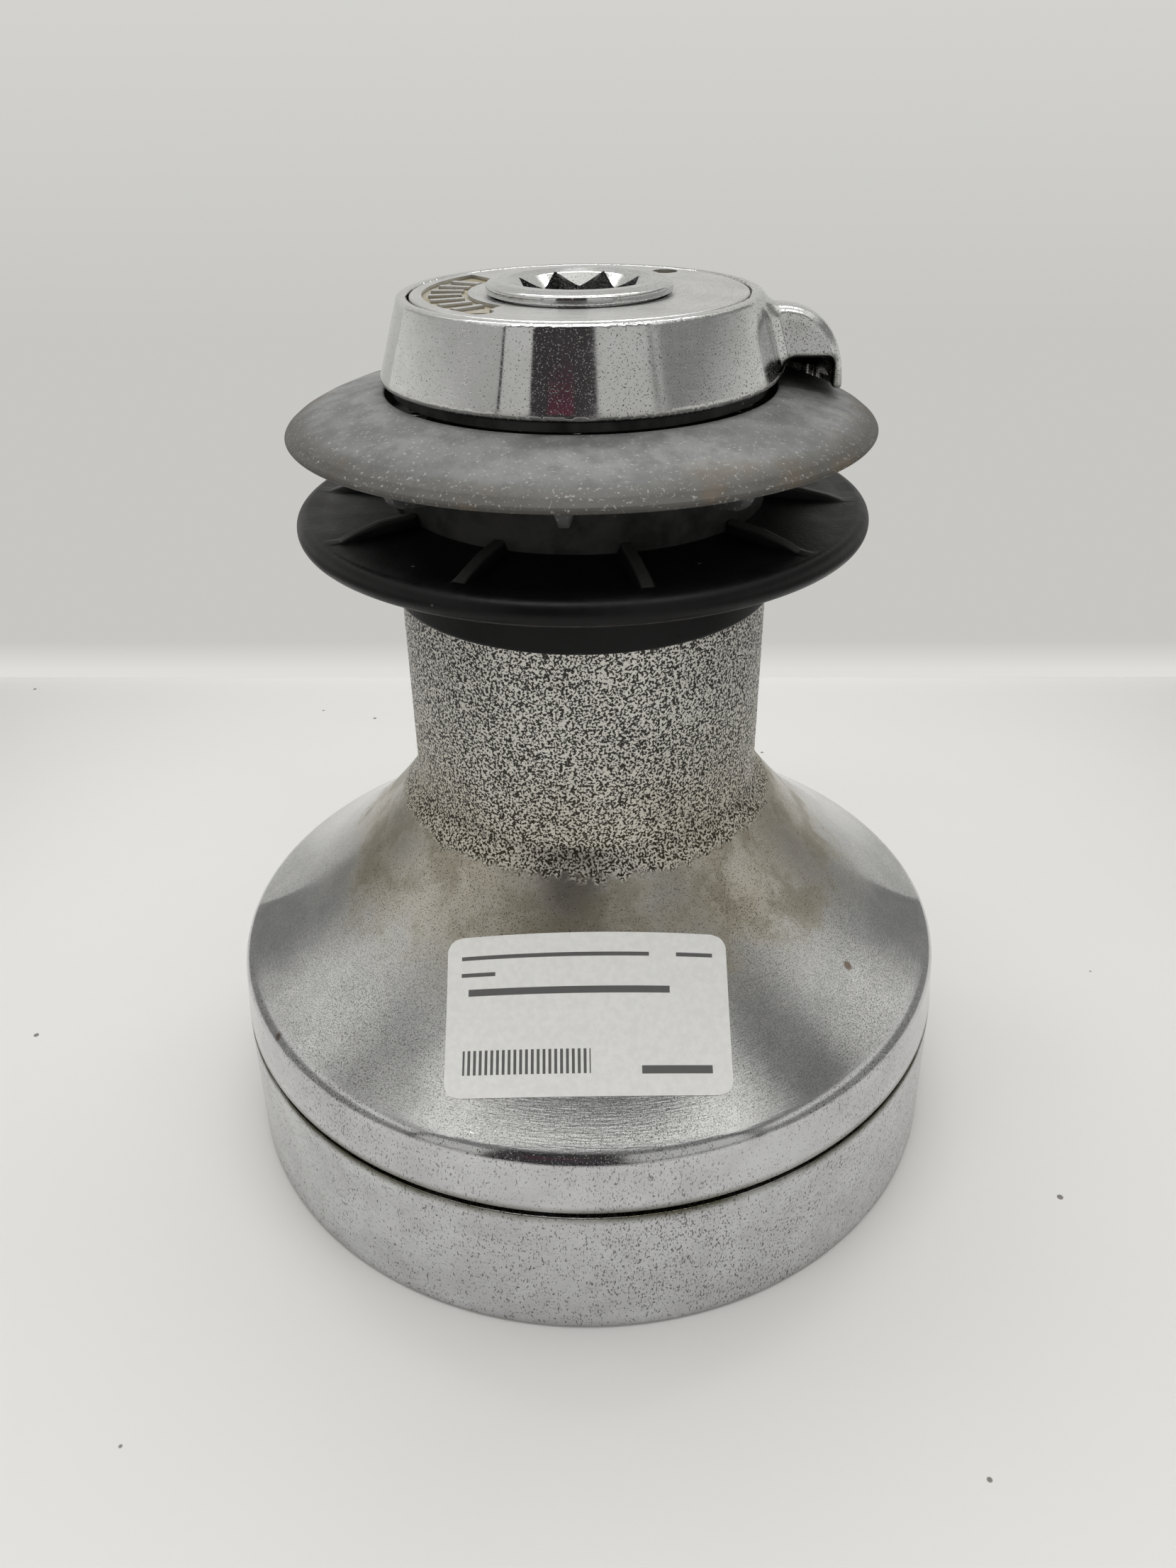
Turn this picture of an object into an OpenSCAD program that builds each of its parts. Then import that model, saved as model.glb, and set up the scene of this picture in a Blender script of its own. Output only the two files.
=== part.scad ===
// Two-speed self-tailing sheet winch.
// The drum turns about Z. The base stands on z = 0. Millimetres.

/* [Drum] */
// Radius of the rope barrel
drum_r = 38.1; // [37.6:0.1:38.6]
// Radius of the skirt at its lower edge
skirt_r = 83.67; // [83:0.1:84.2]
// Height of the skirt's lower edge
skirt_z = 34.2; // [34:0.1:34.6]
// Height where the flare meets the barrel
flare_z = 88.6; // [87:0.1:90]
// Height of the shoulder on which the lower jaw's collar sits
drum_top_z = 132.3; // [131.5:0.1:133]

/* [Base] */
// Radius of the base at the bottom
base_r = 84.6; // [84.3:0.1:85.2]
// Height of the base's outer wall
base_h = 33; // [32.6:0.1:33.2]
// Circle of the mounting holes
bolt_pcd = 130; // [128:1:132]
// Radius of a mounting hole
bolt_hole_r = 4.2; // [3.3:0.1:4.4]
// Number of mounting holes
bolt_count = 6; // [3, 6]

/* [Jaws] */
// Radius of both jaws
jaw_r = 57.3; // [56.8:0.1:58]
// Number of ribs on each jaw
rib_count = 10; // [8:1:12]
// Height of a rib where it meets the hub
rib_h = 2.1; // [1.5:0.1:2.4]
// Number of springs that press the upper jaw down
jaw_spring_count = 6; // [4:1:8]

/* [Spindle] */
// Width across the flats of the eight-point handle socket
socket_w = 17.6; // [17.5:0.05:17.8]
// Depth of the socket below the rim
socket_depth = 38; // [32:1:40]

/* [Gears] */
// Tooth size (gear module)
gear_m = 2; // [2]
// Teeth of the ring gear in the skirt
ring_n = 60; // [60]
// Teeth of the spindle gear
spindle_n = 22; // [22]
// Teeth of the low-gear ratchet gear
low_gear_n = 22; // [22]
// Teeth of the low-gear pinion
low_pinion_n = 16; // [16]
// Teeth of the idler gear
idler_n = 14; // [14]
// Teeth of the high-gear carrier gear
high_gear_n = 15; // [15]
// Teeth of the high-gear pinion
high_pinion_n = 18; // [18]

/* [Hidden] */
$fn = 96;
eps = 0.01;

// ---- Gear train layout
tip_f = 0.8;
root_f = 1.2;
pressure = 25;
backlash = 0.11;
low_d = gear_m * (spindle_n + low_gear_n) / 2;
high_d = gear_m * (ring_n - high_pinion_n) / 2;
idler_d = gear_m * (spindle_n + idler_n) / 2;
idler_high_d = gear_m * (idler_n + high_gear_n) / 2;
idler_turn = acos((idler_d ^ 2 + high_d ^ 2 - idler_high_d ^ 2) / (2 * idler_d * high_d));
low_pos = [low_d, 0];
high_pos = [-high_d, 0];
idler_az = 180 - idler_turn;
idler_pos = idler_d * [cos(idler_az), sin(idler_az)];
idler_to_high = atan2(high_pos.y - idler_pos.y, high_pos.x - idler_pos.x);
low_gear_phase = mesh_phase(0, spindle_n, 0, low_gear_n);
idler_phase = mesh_phase(0, spindle_n, idler_az, idler_n);
high_gear_phase = mesh_phase(idler_phase, idler_n, idler_to_high, high_gear_n);
high_pinion_phase = ring_phase(180, high_pinion_n);

// Lower gear plane, in the base, and upper gear plane, in the skirt
lo_z0 = 17;
lo_z1 = 27;
hi_z0 = 37;
hi_z1 = 47.5;

// ---- Radii of the shafts and bores
axle_r = 6;
idler_axle_r = 5;
run = 0.05;
free = 0.35;
shaft_r = 12;
foot_r = 9;
head_r = 15.6;
stem_bore = 17;
journal_r = 24;
stem_top_r = 22;
ring_seat_r = 20.5;
thread_r = 19.3;
race_r = 32.1;
roller_r = 3.7;
roller_c = (journal_r + race_r) / 2;
gear_seat_r = 74;
floor_t = 6;
boss_z = 15.5;

// ---- Heights
flange_z0 = 28;
flange_z1 = 34.5;
shoulder_z = 52;
lower_race = [56.7, 77.5];
upper_race = [102, 123];
step_z = 124.6;
drum_end_z = 138;
lower_face_z = 150.6;
upper_face_z = 160.9;
hub_shoulder_z = 158.5;
hub_top_z = 172;
feeder_seat_z = 178;
stem_end_z = 187.3;
rim_z = 188.9;
ring_bottom_z = 174;
collet_z0 = 173.9;
collet_z1 = 176.2;
collet_r = 20.8;
snap_z = 168;
spindle_top_z = 191;

// ---- Pawls: [pivot radius, heel radius, reach, radius of the tip, how far it folds in degrees]
// The low-gear pawls stand in their notches; the high-gear ones are held folded by the track.
low_pawl_dims = [11.6, 2, 8.2, 16.6, 13];
high_pawl_dims = [9.4, 1.6, 6.2, 12.1, 8];
low_carrier_r = 14.9;
high_carrier_r = 12;
low_track = [15.6, 17.2];
high_track = [12.6, 13.7];
notch_n = 12;
notch_land = 6;
pawl_gap = 0.3;
heel_gap = 0.08;
spring_t = 0.3;

post_az = [60, 108, 240, 300];
post_r = 54;
hub_screw_r = 30.2;
screw_c = 26.6;

// Angle in degrees between the foot of an involute and its point at radius r
function involute(base, r) = r <= base ? 0 : tan(acos(base / r)) * 180 / PI - acos(base / r);

// Turn of gear 2 so that it meshes with gear 1, which lies in direction az as seen from gear 1
function mesh_phase(phase1, n1, az, n2) = az + 180 - 360 / n2 * (0.5 - (az - phase1) * n1 / 360);

// Turn of a pinion in direction az so that it meshes with the ring gear
function ring_phase(az, n) = az - 360 / n * az * ring_n / 360;

// Point at radius r and angle a
function polar(r, a) = [r * cos(a), r * sin(a)];

// Points of an arc about c, from angle a0 to a1, in the given number of steps
function arc(c, r, a0, a1, steps) = [for (i = [0:steps]) c + polar(r, a0 + (a1 - a0) * i / steps)];

// ---- Shared shapes

// Outline of a spur gear; grow widens each tooth by that much at the pitch circle
module gear_outline(n, tip, root, grow) {
    pitch = gear_m * n / 2;
    base = pitch * cos(pressure);
    half = 90 / n + grow / pitch * 180 / PI + involute(base, pitch);
    low = max(base, root);
    radii = [root, low, (low + tip) / 2, tip];
    polygon([for (i = [0:n - 1], side = [-1, 1], k = [0:3])
        let (r = side < 0 ? radii[k] : radii[3 - k])
        polar(r, 360 * i / n + side * (half - involute(base, r)))]);
}

// External gear of n teeth between two heights
module gear(n, z0, z1) {
    pitch = gear_m * n / 2;
    translate([0, 0, z0])
        linear_extrude(z1 - z0)
            gear_outline(n, pitch + tip_f * gear_m, pitch - root_f * gear_m, -backlash);
}

// Saw-tooth outline of a ratchet track's hollow, with the steep face of one notch at angle first
module track_outline(track, first) {
    notch = [[track[0], -notch_land], [track[0], 0], [track[1], 0.5]];
    polygon([for (i = [0:notch_n - 1], p = notch) polar(p[0], first + 360 * i / notch_n + p[1])]);
}

// Tube between two heights
module tube(r_out, r_in, z0, z1) {
    translate([0, 0, z0])
        difference() {
            cylinder(r = r_out, h = z1 - z0);
            translate([0, 0, -1])
                cylinder(r = r_in, h = z1 - z0 + 2);
        }
}

// Plain cylinder between two heights
module rod(r, z0, z1) {
    translate([0, 0, z0])
        cylinder(r = r, h = z1 - z0);
}

// Angle about the gear's axis from a pawl's pivot to its tip
function pawl_span(d) = atan(d[2] / d[0]);

// Pawl outline: a round heel at the pivot and an arm that leans out to the track
module pawl_outline(d, gap) {
    pivot = d[0];
    heel = d[1];
    translate([pivot, 0])
        circle(r = heel + min(gap, heel_gap), $fn = 32);
    polygon([[pivot - heel * 0.75 - gap, 0],
             [pivot - heel * 0.3 - gap, -d[2] * 0.55],
             polar(d[3] - heel * 0.9 - gap, -pawl_span(d) - gap * 4),
             polar(d[3] + gap, -pawl_span(d) - gap * 4),
             polar(d[3] * 0.965 + gap, -pawl_span(d) * 0.75),
             [pivot + heel * 0.95 + gap, -0.2]]);
}

// Pawl at one of the two stations of a carrier
module pawl(d, turn, z0, z1) {
    rotate(turn)
        translate([0, 0, z0])
            linear_extrude(z1 - z0)
                pawl_outline(d, 0);
}

// Where the leaf spring stands, as a distance from the gear's axis
function spring_seat(d) = d[0] - d[1] * 1.2;

// Hollow in a carrier in which a pawl and its spring lie; it leaves room for the pawl to fold
module pawl_pocket(d, turn, z0, z1) {
    rotate(turn)
        translate([0, 0, z0])
            linear_extrude(z1 - z0) {
                for (fold = [0, d[4] / 2, d[4]])
                    translate([d[0], 0])
                        rotate(-fold)
                            translate([-d[0], 0])
                                pawl_outline(d, pawl_gap);
                translate([spring_seat(d), -d[2]])
                    square([d[1], d[2] * 0.75]);
            }
}

// Leaf spring behind a pawl: a thin strip that leans from the pocket's wall towards the arm
module pawl_spring(d, turn, z0, z1) {
    lean = spring_t / 2;
    rotate(turn)
        translate([spring_seat(d), 0, z0])
            linear_extrude(z1 - z0)
                polygon([[0, -d[2] * 0.3], [spring_t, -d[2] * 0.3],
                         [lean + spring_t, -d[2] * 0.95], [lean, -d[2] * 0.95]]);
}

// Coil spring: a round wire swept along a helix
module coil_spring(r, wire, length, turns) {
    sides = 6;
    per_turn = 10;
    rings = turns * per_turn;
    points = [for (i = [0:rings], j = [0:sides - 1])
        let (a = 360 * i / per_turn, b = 360 * j / sides, w = r - wire + wire * cos(b))
        [w * cos(a), w * sin(a), wire + (length - 2 * wire) * i / rings + wire * sin(b)]];
    sweep = [for (i = [0:rings - 1], j = [0:sides - 1])
        let (a = i * sides + j, b = i * sides + (j + 1) % sides)
        [a, a + sides, b + sides, b]];
    ends = [[for (j = [0:sides - 1]) j], [for (j = [sides - 1:-1:0]) rings * sides + j]];
    polyhedron(points, concat(sweep, ends));
}

// Place children at each of n stations on a circle
module around(n, r, start = 0) {
    for (i = [0:n - 1])
        rotate(start + 360 * i / n)
            translate([r, 0, 0])
                children();
}

// ---- Base and stem

module base_housing() {
    wall_r = 77.5;
    lip = [70.4, 73.2];
    lip_top = 36.4;
    edge = 1.2;
    color("silver")
    difference() {
        union() {
            rotate_extrude($fn = 180)
                polygon(concat(
                    [[0, 0]],
                    arc([base_r - edge, edge], edge, -90, 0, 5),
                    [[base_r - 0.85, base_h], [lip[1], base_h], [lip[1], lip_top],
                     [lip[0], lip_top], [lip[0], base_h - 4], [wall_r, base_h - 10],
                     [wall_r, floor_t], [0, floor_t]]));
            rod(foot_r + 8, floor_t - eps, boss_z - 1.5);
            for (p = [low_pos, high_pos])
                translate(p)
                    rod(axle_r + 4, floor_t - eps, boss_z);
            translate(idler_pos)
                rod(idler_axle_r + 3, floor_t - eps, boss_z);
            for (a = post_az)
                rotate(a)
                    translate([post_r, 0, 0])
                        rod(6, floor_t - eps, flange_z0);
        }
        rod(foot_r + 3, 3, boss_z);
        for (p = [low_pos, high_pos])
            translate(p)
                rod(axle_r, 2.5, boss_z + 1);
        translate(idler_pos)
            rod(idler_axle_r, 2.5, boss_z + 1);
        for (a = post_az)
            rotate(a)
                translate([post_r, 0, 0])
                    rod(3, 12, flange_z0 + 1);
        around(bolt_count, bolt_pcd / 2, 30)
            rod(bolt_hole_r, -1, floor_t + 1);
    }
}

module center_stem() {
    color("darkgray")
    difference() {
        union() {
            rod(60.5, flange_z0, flange_z1);
            rod(21.5, flange_z1 - eps, shoulder_z + eps);
            rod(36.5, shoulder_z, shoulder_z + 2);
            rod(journal_r, shoulder_z + 2 - eps, step_z);
            rod(stem_top_r, step_z - eps, collet_z0);
            rod(collet_r, collet_z0 - eps, collet_z1 + eps);
            rod(stem_top_r, collet_z1, feeder_seat_z);
            rod(ring_seat_r, feeder_seat_z - eps, 184);
            rod(thread_r, 184 - eps, stem_end_z);
        }
        rod(stem_bore, flange_z0 - 1, stem_end_z + 1);
        translate(low_pos)
            rod(18.6, flange_z0 - 1, flange_z1 + 1);
        translate(high_pos)
            rod(20.5, flange_z0 - 1, flange_z1 + 1);
        translate(idler_pos)
            rod(idler_axle_r, flange_z0 - 1, 32);
        for (a = post_az)
            rotate(a)
                translate([post_r, 0, 0]) {
                    rod(3.3, flange_z0 - 1, flange_z1 + 1);
                    rod(5, flange_z1 - 4, flange_z1 + 1);
                }
        translate([0, ring_seat_r - 1.5, 180])
            translate([-2, 0, -1])
                cube([4, 4, 6]);
    }
}

module stem_screws() {
    color("gray")
    for (a = post_az)
        rotate(a)
            translate([post_r, 0, 0])
                difference() {
                    union() {
                        rod(3, 13, flange_z1 - 3.9);
                        rod(4.7, flange_z1 - 4 + eps, flange_z1 - 0.3);
                    }
                    translate([0, 0, flange_z1 - 2.6])
                        cylinder(r = 2.7, h = 4, $fn = 6);
                }
}

module lower_spindle_bush() {
    color("darkgoldenrod")
    tube(foot_r + 3, foot_r + run, 3.2, boss_z - 1.5);
}

module stem_lower_bush() {
    color("darkgoldenrod")
    tube(stem_bore, shaft_r + run, 36, 58);
}

module stem_upper_bush() {
    color("darkgoldenrod")
    difference() {
        tube(stem_bore, head_r + run, 156, 180);
        rod(16.3, snap_z, snap_z + 2);
    }
}

module spindle_snap_ring() {
    color("lightgray")
    difference() {
        tube(16.25, 15, snap_z + 0.3, snap_z + 1.7);
        translate([0, -2, snap_z])
            cube([20, 4, 2]);
    }
}

module drum_collets() {
    color("darkgoldenrod")
    difference() {
        tube(25.4, collet_r + 0.05, collet_z0 + 0.15, collet_z1 - 0.15);
        translate([-30, -0.6, collet_z0])
            cube([60, 1.2, 3]);
    }
}

module spindle_washer() {
    color("ivory")
    tube(15.5, foot_r + free, boss_z - 1.4, lo_z0 - 0.4);
}

module low_axle() {
    color("lightgray")
    translate(low_pos)
        rod(axle_r, 2.5, 50);
}

module high_axle() {
    color("lightgray")
    translate(high_pos)
        rod(axle_r, 2.5, 50);
}

module idler_axle() {
    color("lightgray")
    translate(idler_pos)
        rod(idler_axle_r, 2.5, 32);
}

module gear_washers() {
    color("ivory")
    {
        for (p = [low_pos, high_pos])
            translate(p)
                tube(10, axle_r + 0.05, boss_z, lo_z0 - 0.3);
        translate(idler_pos)
            tube(8, idler_axle_r + 0.05, boss_z, lo_z0 - 0.3);
    }
}

module axle_circlips() {
    color("dimgray")
    for (p = [low_pos, high_pos])
        translate(p)
            difference() {
                tube(8.5, axle_r, hi_z1 + 0.3, hi_z1 + 1.5);
                translate([0, 0, hi_z1])
                    rotate(p.x > 0 ? 0 : 180)
                        translate([0, -2.5, 0])
                            cube([12, 5, 3]);
            }
}

// ---- Spindle

module star_outline(w) {
    for (a = [22.5, 67.5])
        rotate(a)
            square(w, center = true);
}

module main_spindle() {
    lip_r = 17.5;
    lip_h = 2.1;
    neck_r = 16.1;
    mouth_r = 12.8;
    color("gainsboro")
    difference() {
        rotate_extrude()
            polygon(concat(
                [[0, 4], [foot_r, 4], [foot_r, lo_z0 - 0.2], [shaft_r, lo_z0 - 0.2],
                 [shaft_r, 140], [head_r, 143], [head_r, snap_z], [14.8, snap_z],
                 [14.8, snap_z + 2], [head_r, snap_z + 2], [head_r, 183.5], [neck_r, 184.5],
                 [neck_r, spindle_top_z - lip_h], [lip_r - 0.2, spindle_top_z - lip_h],
                 [lip_r, spindle_top_z - lip_h + 0.3], [lip_r, spindle_top_z - 1.1]],
                arc([lip_r - 1, spindle_top_z - 1.1], 1, 15, 60, 4),
                [[lip_r - 1.7, spindle_top_z - 0.08], [lip_r - 2.9, spindle_top_z],
                 [0, spindle_top_z]]));
        translate([0, 0, spindle_top_z - socket_depth])
            linear_extrude(socket_depth + 1)
                star_outline(socket_w);
        translate([0, 0, spindle_top_z - 4.4])
            cylinder(r1 = mouth_r - 5, r2 = mouth_r + 0.1, h = 4.5, $fn = 64);
        translate([shaft_r - 2, -2, lo_z0 + 1])
            cube([4, 4, 8]);
    }
}

module spindle_gear() {
    color("slategray")
    difference() {
        gear(spindle_n, lo_z0, lo_z1);
        rod(shaft_r, lo_z0 - 1, lo_z1 + 1);
        translate([shaft_r - 1, -2, lo_z0 - 1])
            cube([3, 4, 12]);
    }
}

module spindle_key() {
    color("lightgray")
    translate([shaft_r - 2, -2, lo_z0 + 1])
        cube([4, 4, 8]);
}

// ---- Low gear: ratchet gear outside, pawl carrier and pinion inside. It drives clockwise.

module low_ratchet_gear() {
    color("slategray")
    translate(low_pos)
        difference() {
            rotate(low_gear_phase)
                gear(low_gear_n, lo_z0, lo_z1);
            mirror([0, 1, 0])
                translate([0, 0, lo_z0 - 1])
                    linear_extrude(lo_z1 - lo_z0 + 2)
                        track_outline(low_track, -pawl_span(low_pawl_dims) - 3.2);
        }
}

module low_pinion() {
    color("darkkhaki")
    translate(low_pos)
        difference() {
            union() {
                rod(low_carrier_r, lo_z0, lo_z1);
                rod(11.5, lo_z1 - eps, hi_z0 + eps);
                gear(low_pinion_n, hi_z0, hi_z1);
            }
            rod(axle_r + run, lo_z0 - 1, hi_z1 + 1);
            mirror([0, 1, 0])
                for (turn = [0, 180])
                    pawl_pocket(low_pawl_dims, turn, lo_z0 + 1, lo_z1 + 1);
        }
}

module low_pawl(turn) {
    color("lightsteelblue")
    translate(low_pos)
        mirror([0, 1, 0])
            pawl(low_pawl_dims, turn, lo_z0 + 1.2, lo_z1 - 0.2);
}

module low_pawl_a() {
    low_pawl(0);
}

module low_pawl_b() {
    low_pawl(180);
}

module low_pawl_springs() {
    color("lightgray")
    translate(low_pos)
        mirror([0, 1, 0])
            for (turn = [0, 180])
                pawl_spring(low_pawl_dims, turn, lo_z0 + 1.5, lo_z1 - 0.5);
}

// ---- High gear: carrier gear below, pawls above inside the pinion

module high_carrier_gear() {
    color("darkkhaki")
    translate(high_pos)
        difference() {
            union() {
                rotate(high_gear_phase)
                    gear(high_gear_n, lo_z0, lo_z1);
                rod(high_carrier_r, lo_z1 - eps, hi_z1);
            }
            rod(axle_r + run, lo_z0 - 1, hi_z1 + 1);
            for (turn = [0, 180])
                pawl_pocket(high_pawl_dims, turn, hi_z0 + 1, hi_z1 + 1);
        }
}

module high_pinion() {
    color("slategray")
    translate(high_pos)
        difference() {
            rotate(high_pinion_phase)
                gear(high_pinion_n, hi_z0, hi_z1);
            translate([0, 0, hi_z0 - 1])
                linear_extrude(hi_z1 - hi_z0 + 2)
                    track_outline(high_track, 0);
        }
}

module high_pawl(turn) {
    color("lightsteelblue")
    translate(high_pos)
        pawl(high_pawl_dims, turn, hi_z0 + 1.2, hi_z1 - 0.2);
}

module high_pawl_a() {
    high_pawl(0);
}

module high_pawl_b() {
    high_pawl(180);
}

module high_pawl_springs() {
    color("lightgray")
    translate(high_pos)
        for (turn = [0, 180])
            pawl_spring(high_pawl_dims, turn, hi_z0 + 1.5, hi_z1 - 0.5);
}

module idler_gear() {
    color("slategray")
    translate(idler_pos)
        difference() {
            rotate(idler_phase)
                gear(idler_n, lo_z0, lo_z1);
            rod(idler_axle_r + run, lo_z0 - 1, lo_z1 + 1);
        }
}

// ---- Bearings

module bearing_cage(z0, z1) {
    difference() {
        tube(roller_c + 2, roller_c - 2, z0 - 1.2, z1 + 1.2);
        around(8, roller_c)
            rod(roller_r + 0.15, z0 - 0.2, z1 + 0.2);
    }
}

module rollers(z0, z1) {
    around(8, roller_c)
        rod(roller_r, z0, z1);
}

module lower_bearing_cage() {
    color("ivory")
    bearing_cage(lower_race[0], lower_race[1]);
}

module lower_rollers() {
    color("lightgray")
    rollers(lower_race[0], lower_race[1]);
}

module upper_bearing_cage() {
    color("ivory")
    bearing_cage(upper_race[0], upper_race[1]);
}

module upper_rollers() {
    color("lightgray")
    rollers(upper_race[0], upper_race[1]);
}

module bearing_spacer() {
    color("dimgray")
    tube(journal_r + 3, journal_r + free, lower_race[1] + 1.6, upper_race[0] - 1.6);
}

module lower_thrust_washer() {
    color("ivory")
    tube(36.3, journal_r + 0.05, shoulder_z + 2, shoulder_z + 3);
}

module upper_thrust_washer() {
    color("ivory")
    tube(31, stem_top_r + 0.05, step_z, step_z + 1.4);
}

// ---- Drum

// Outer outline of the flare: a hollow arc from the barrel out to the rounded shoulder
function flare_points() =
    let (top_a = 56.3, low_a = 30.5, corner = 4.2,
         band_r = skirt_r - 0.93,
         end_r = band_r - corner * tan((90 - low_a) / 2) * cos(low_a),
         big_r = (end_r - drum_r) / (sin(top_a) - sin(low_a)),
         centre = [drum_r + big_r * sin(top_a), flare_z + big_r * cos(top_a)],
         flare = arc(centre, big_r, -90 - top_a, -90 - low_a, 24),
         last = flare[24],
         knee = last - corner * [sin(low_a), cos(low_a)])
    concat(flare, arc(knee, corner, 90 - low_a, 4, 8));

module drum() {
    cavity_top = [38, 75];
    sleeve_r = 37;
    sleeve_z = 55.2;
    flare = flare_points();
    color("gainsboro")
    difference() {
        rotate_extrude($fn = 180)
            polygon(concat(
                [[gear_seat_r, skirt_z], [skirt_r, skirt_z]],
                [for (i = [len(flare) - 1:-1:0]) flare[i]],
                [[drum_r, drum_top_z], [36, drum_top_z], [36, drum_end_z],
                 [stem_top_r + 0.6, drum_end_z], [stem_top_r + 0.6, step_z + 1.6],
                 [race_r, step_z + 1.6], [race_r, upper_race[0] - 1.5],
                 [race_r + 1, upper_race[0] - 3], [race_r + 1, lower_race[1] + 3],
                 [race_r, lower_race[1] + 1.5], [race_r, sleeve_z], [sleeve_r, sleeve_z],
                 [sleeve_r, cavity_top.y], cavity_top, [71, 49.5], [71, hi_z1 + 0.2],
                 [gear_seat_r, hi_z1 + 0.2]]));
        around(4, hub_screw_r, 45)
            rod(2.5, 128, drum_end_z + 1);
    }
}

module ring_gear() {
    color("slategray")
    translate([0, 0, hi_z0 + 0.3])
        linear_extrude(hi_z1 - hi_z0 - 0.3)
            difference() {
                circle(r = gear_seat_r - 0.02, $fn = 180);
                gear_outline(ring_n, gear_m * (ring_n / 2 + root_f), gear_m * (ring_n / 2 - tip_f),
                             backlash);
            }
}

// ---- Jaws

// Ribs of one jaw. Each runs out from the hub along the jaw's face: edge holds the points of
// its crest seen from the side, and root_z is a height inside the jaw's disc.
module jaw_ribs(first, root_z, edge) {
    width = 2.6;
    around(rib_count, 0, first)
        rotate([90, 0, 0])
            translate([0, 0, -width / 2])
                linear_extrude(width)
                    polygon(concat([[edge[0].x, root_z]], edge,
                                   [[edge[len(edge) - 1].x, root_z]]));
}

module lower_jaw() {
    collar_r = 39.5;
    rim = 2.6;
    rim_c = [jaw_r - rim, 147.5];
    edge_z = 149.8;
    color("#1c1c1e")
    union() {
        rotate_extrude($fn = 180)
            polygon(concat(
                [[36, drum_top_z], [collar_r - 0.6, drum_top_z], [collar_r, drum_top_z + 0.6],
                 [collar_r, 138.6], [41, 140.3]],
                arc(rim_c, rim, -75, 80, 10),
                [[52, edge_z], [36.5, lower_face_z], [34, lower_face_z], [34, drum_end_z],
                 [36, drum_end_z]]));
        jaw_ribs(-90 + 12, 148,
                 [[36.6, lower_face_z + rib_h], [44, lower_face_z + rib_h * 0.8],
                  [49.5, edge_z + rib_h * 0.6], [52.5, edge_z + 0.1]]);
    }
}

module jaw_hub() {
    color("#202022")
    difference() {
        union() {
            rod(34, drum_end_z, lower_face_z + eps);
            rod(36.5, lower_face_z, hub_shoulder_z);
            rod(30, hub_shoulder_z - eps, hub_top_z);
            for (a = [0:120:240])
                rotate(a)
                    translate([28, -2, hub_shoulder_z - eps])
                        cube([4, 4, 8.5]);
        }
        rod(stem_top_r + 0.6, drum_end_z - 1, hub_top_z + 1);
        around(4, hub_screw_r, 45) {
            rod(2.8, drum_end_z - 1, hub_top_z);
            rod(4.8, hub_shoulder_z - 4, hub_top_z + 1);
        }
        around(3, screw_c, 60)
            rod(1.5, hub_top_z - 9, hub_top_z + 1);
    }
}

module jaw_hub_screws() {
    color("gray")
    around(4, hub_screw_r, 45)
        difference() {
            union() {
                rod(2.5, 129, hub_shoulder_z - 3.9);
                rod(4.4, hub_shoulder_z - 4 + eps, hub_shoulder_z - 0.5);
            }
            translate([0, 0, hub_shoulder_z - 2.6])
                cylinder(r = 2.4, h = 4, $fn = 6);
        }
}

module upper_jaw() {
    seat_z = 167;
    crown_z = 172.2;
    color("dimgray")
    difference() {
        union() {
            rotate_extrude($fn = 180)
                polygon(concat(
                    [[30.35, upper_face_z], [37, upper_face_z], [52, 163.5], [55.5, 164.4],
                     [jaw_r - 0.4, 164.7], [jaw_r, 165.2], [jaw_r - 0.4, 165.8],
                     [55.5, 166.9], [53, 168.2], [50, 169.4], [46, 170.5],
                     [39.5, crown_z - 0.2], [37.8, crown_z], [37.4, seat_z],
                     [30.35, seat_z]]));
            jaw_ribs(-90 - 3.5, 164.5,
                     [[36.6, upper_face_z - rib_h], [44, upper_face_z - rib_h * 0.9],
                      [49.5, upper_face_z - rib_h * 0.45], [51.8, 161.4], [52.5, 163]]);
        }
        for (a = [0:120:240])
            rotate(a)
                translate([27, -2.3, 158])
                    cube([5.5, 4.6, 12]);
    }
}

module jaw_springs() {
    color("lightgray")
    around(jaw_spring_count, 34, 30)
        translate([0, 0, 167])
            coil_spring(1.9, 0.3, 5, 4);
}

module jaw_retainer() {
    color("#2a2a2c")
    difference() {
        tube(36.2, stem_top_r + 0.6, hub_top_z, hub_top_z + 1.6);
        around(3, screw_c, 60) {
            rod(1.6, hub_top_z - 1, hub_top_z + 3);
            rod(2.6, hub_top_z + 0.6, hub_top_z + 3);
        }
    }
}

module retainer_screws() {
    color("gray")
    around(3, screw_c, 60)
        difference() {
            union() {
                rod(1.5, hub_top_z - 8, hub_top_z + 0.6 + eps);
                rod(2.5, hub_top_z + 0.6, hub_top_z + 1.5);
            }
            translate([-3, -0.35, hub_top_z + 1])
                cube([6, 0.7, 1]);
        }
}

// ---- Top

// Cross-section of the feeder arm's hood: a soft-cornered quarter round
module hood_section(centre, a, b) {
    power = 2.5;
    polygon(concat(
        [[centre.x - 14, centre.y], [centre.x - 14, centre.y + b]],
        [for (t = [90:-7.5:0])
            centre + [a * pow(cos(t), 2 / power), b * pow(sin(t), 2 / power)]]));
}

// Arch of the tunnel under the hood
module tunnel_section(x0, x1, top) {
    polygon(concat(
        [[x0, 160]],
        arc([x0 + 2.6, top - 2.6], 2.6, 180, 95, 5),
        arc([x1 - 1.3, top - 1.0], 1.3, 90, 0, 4),
        [[x1, 160]]));
}

// Thin upright slab of a section, at a distance y behind the axis
module slab(y) {
    translate([0, y, 0])
        rotate([90, 0, 0])
            linear_extrude(0.2)
                children();
}

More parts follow.
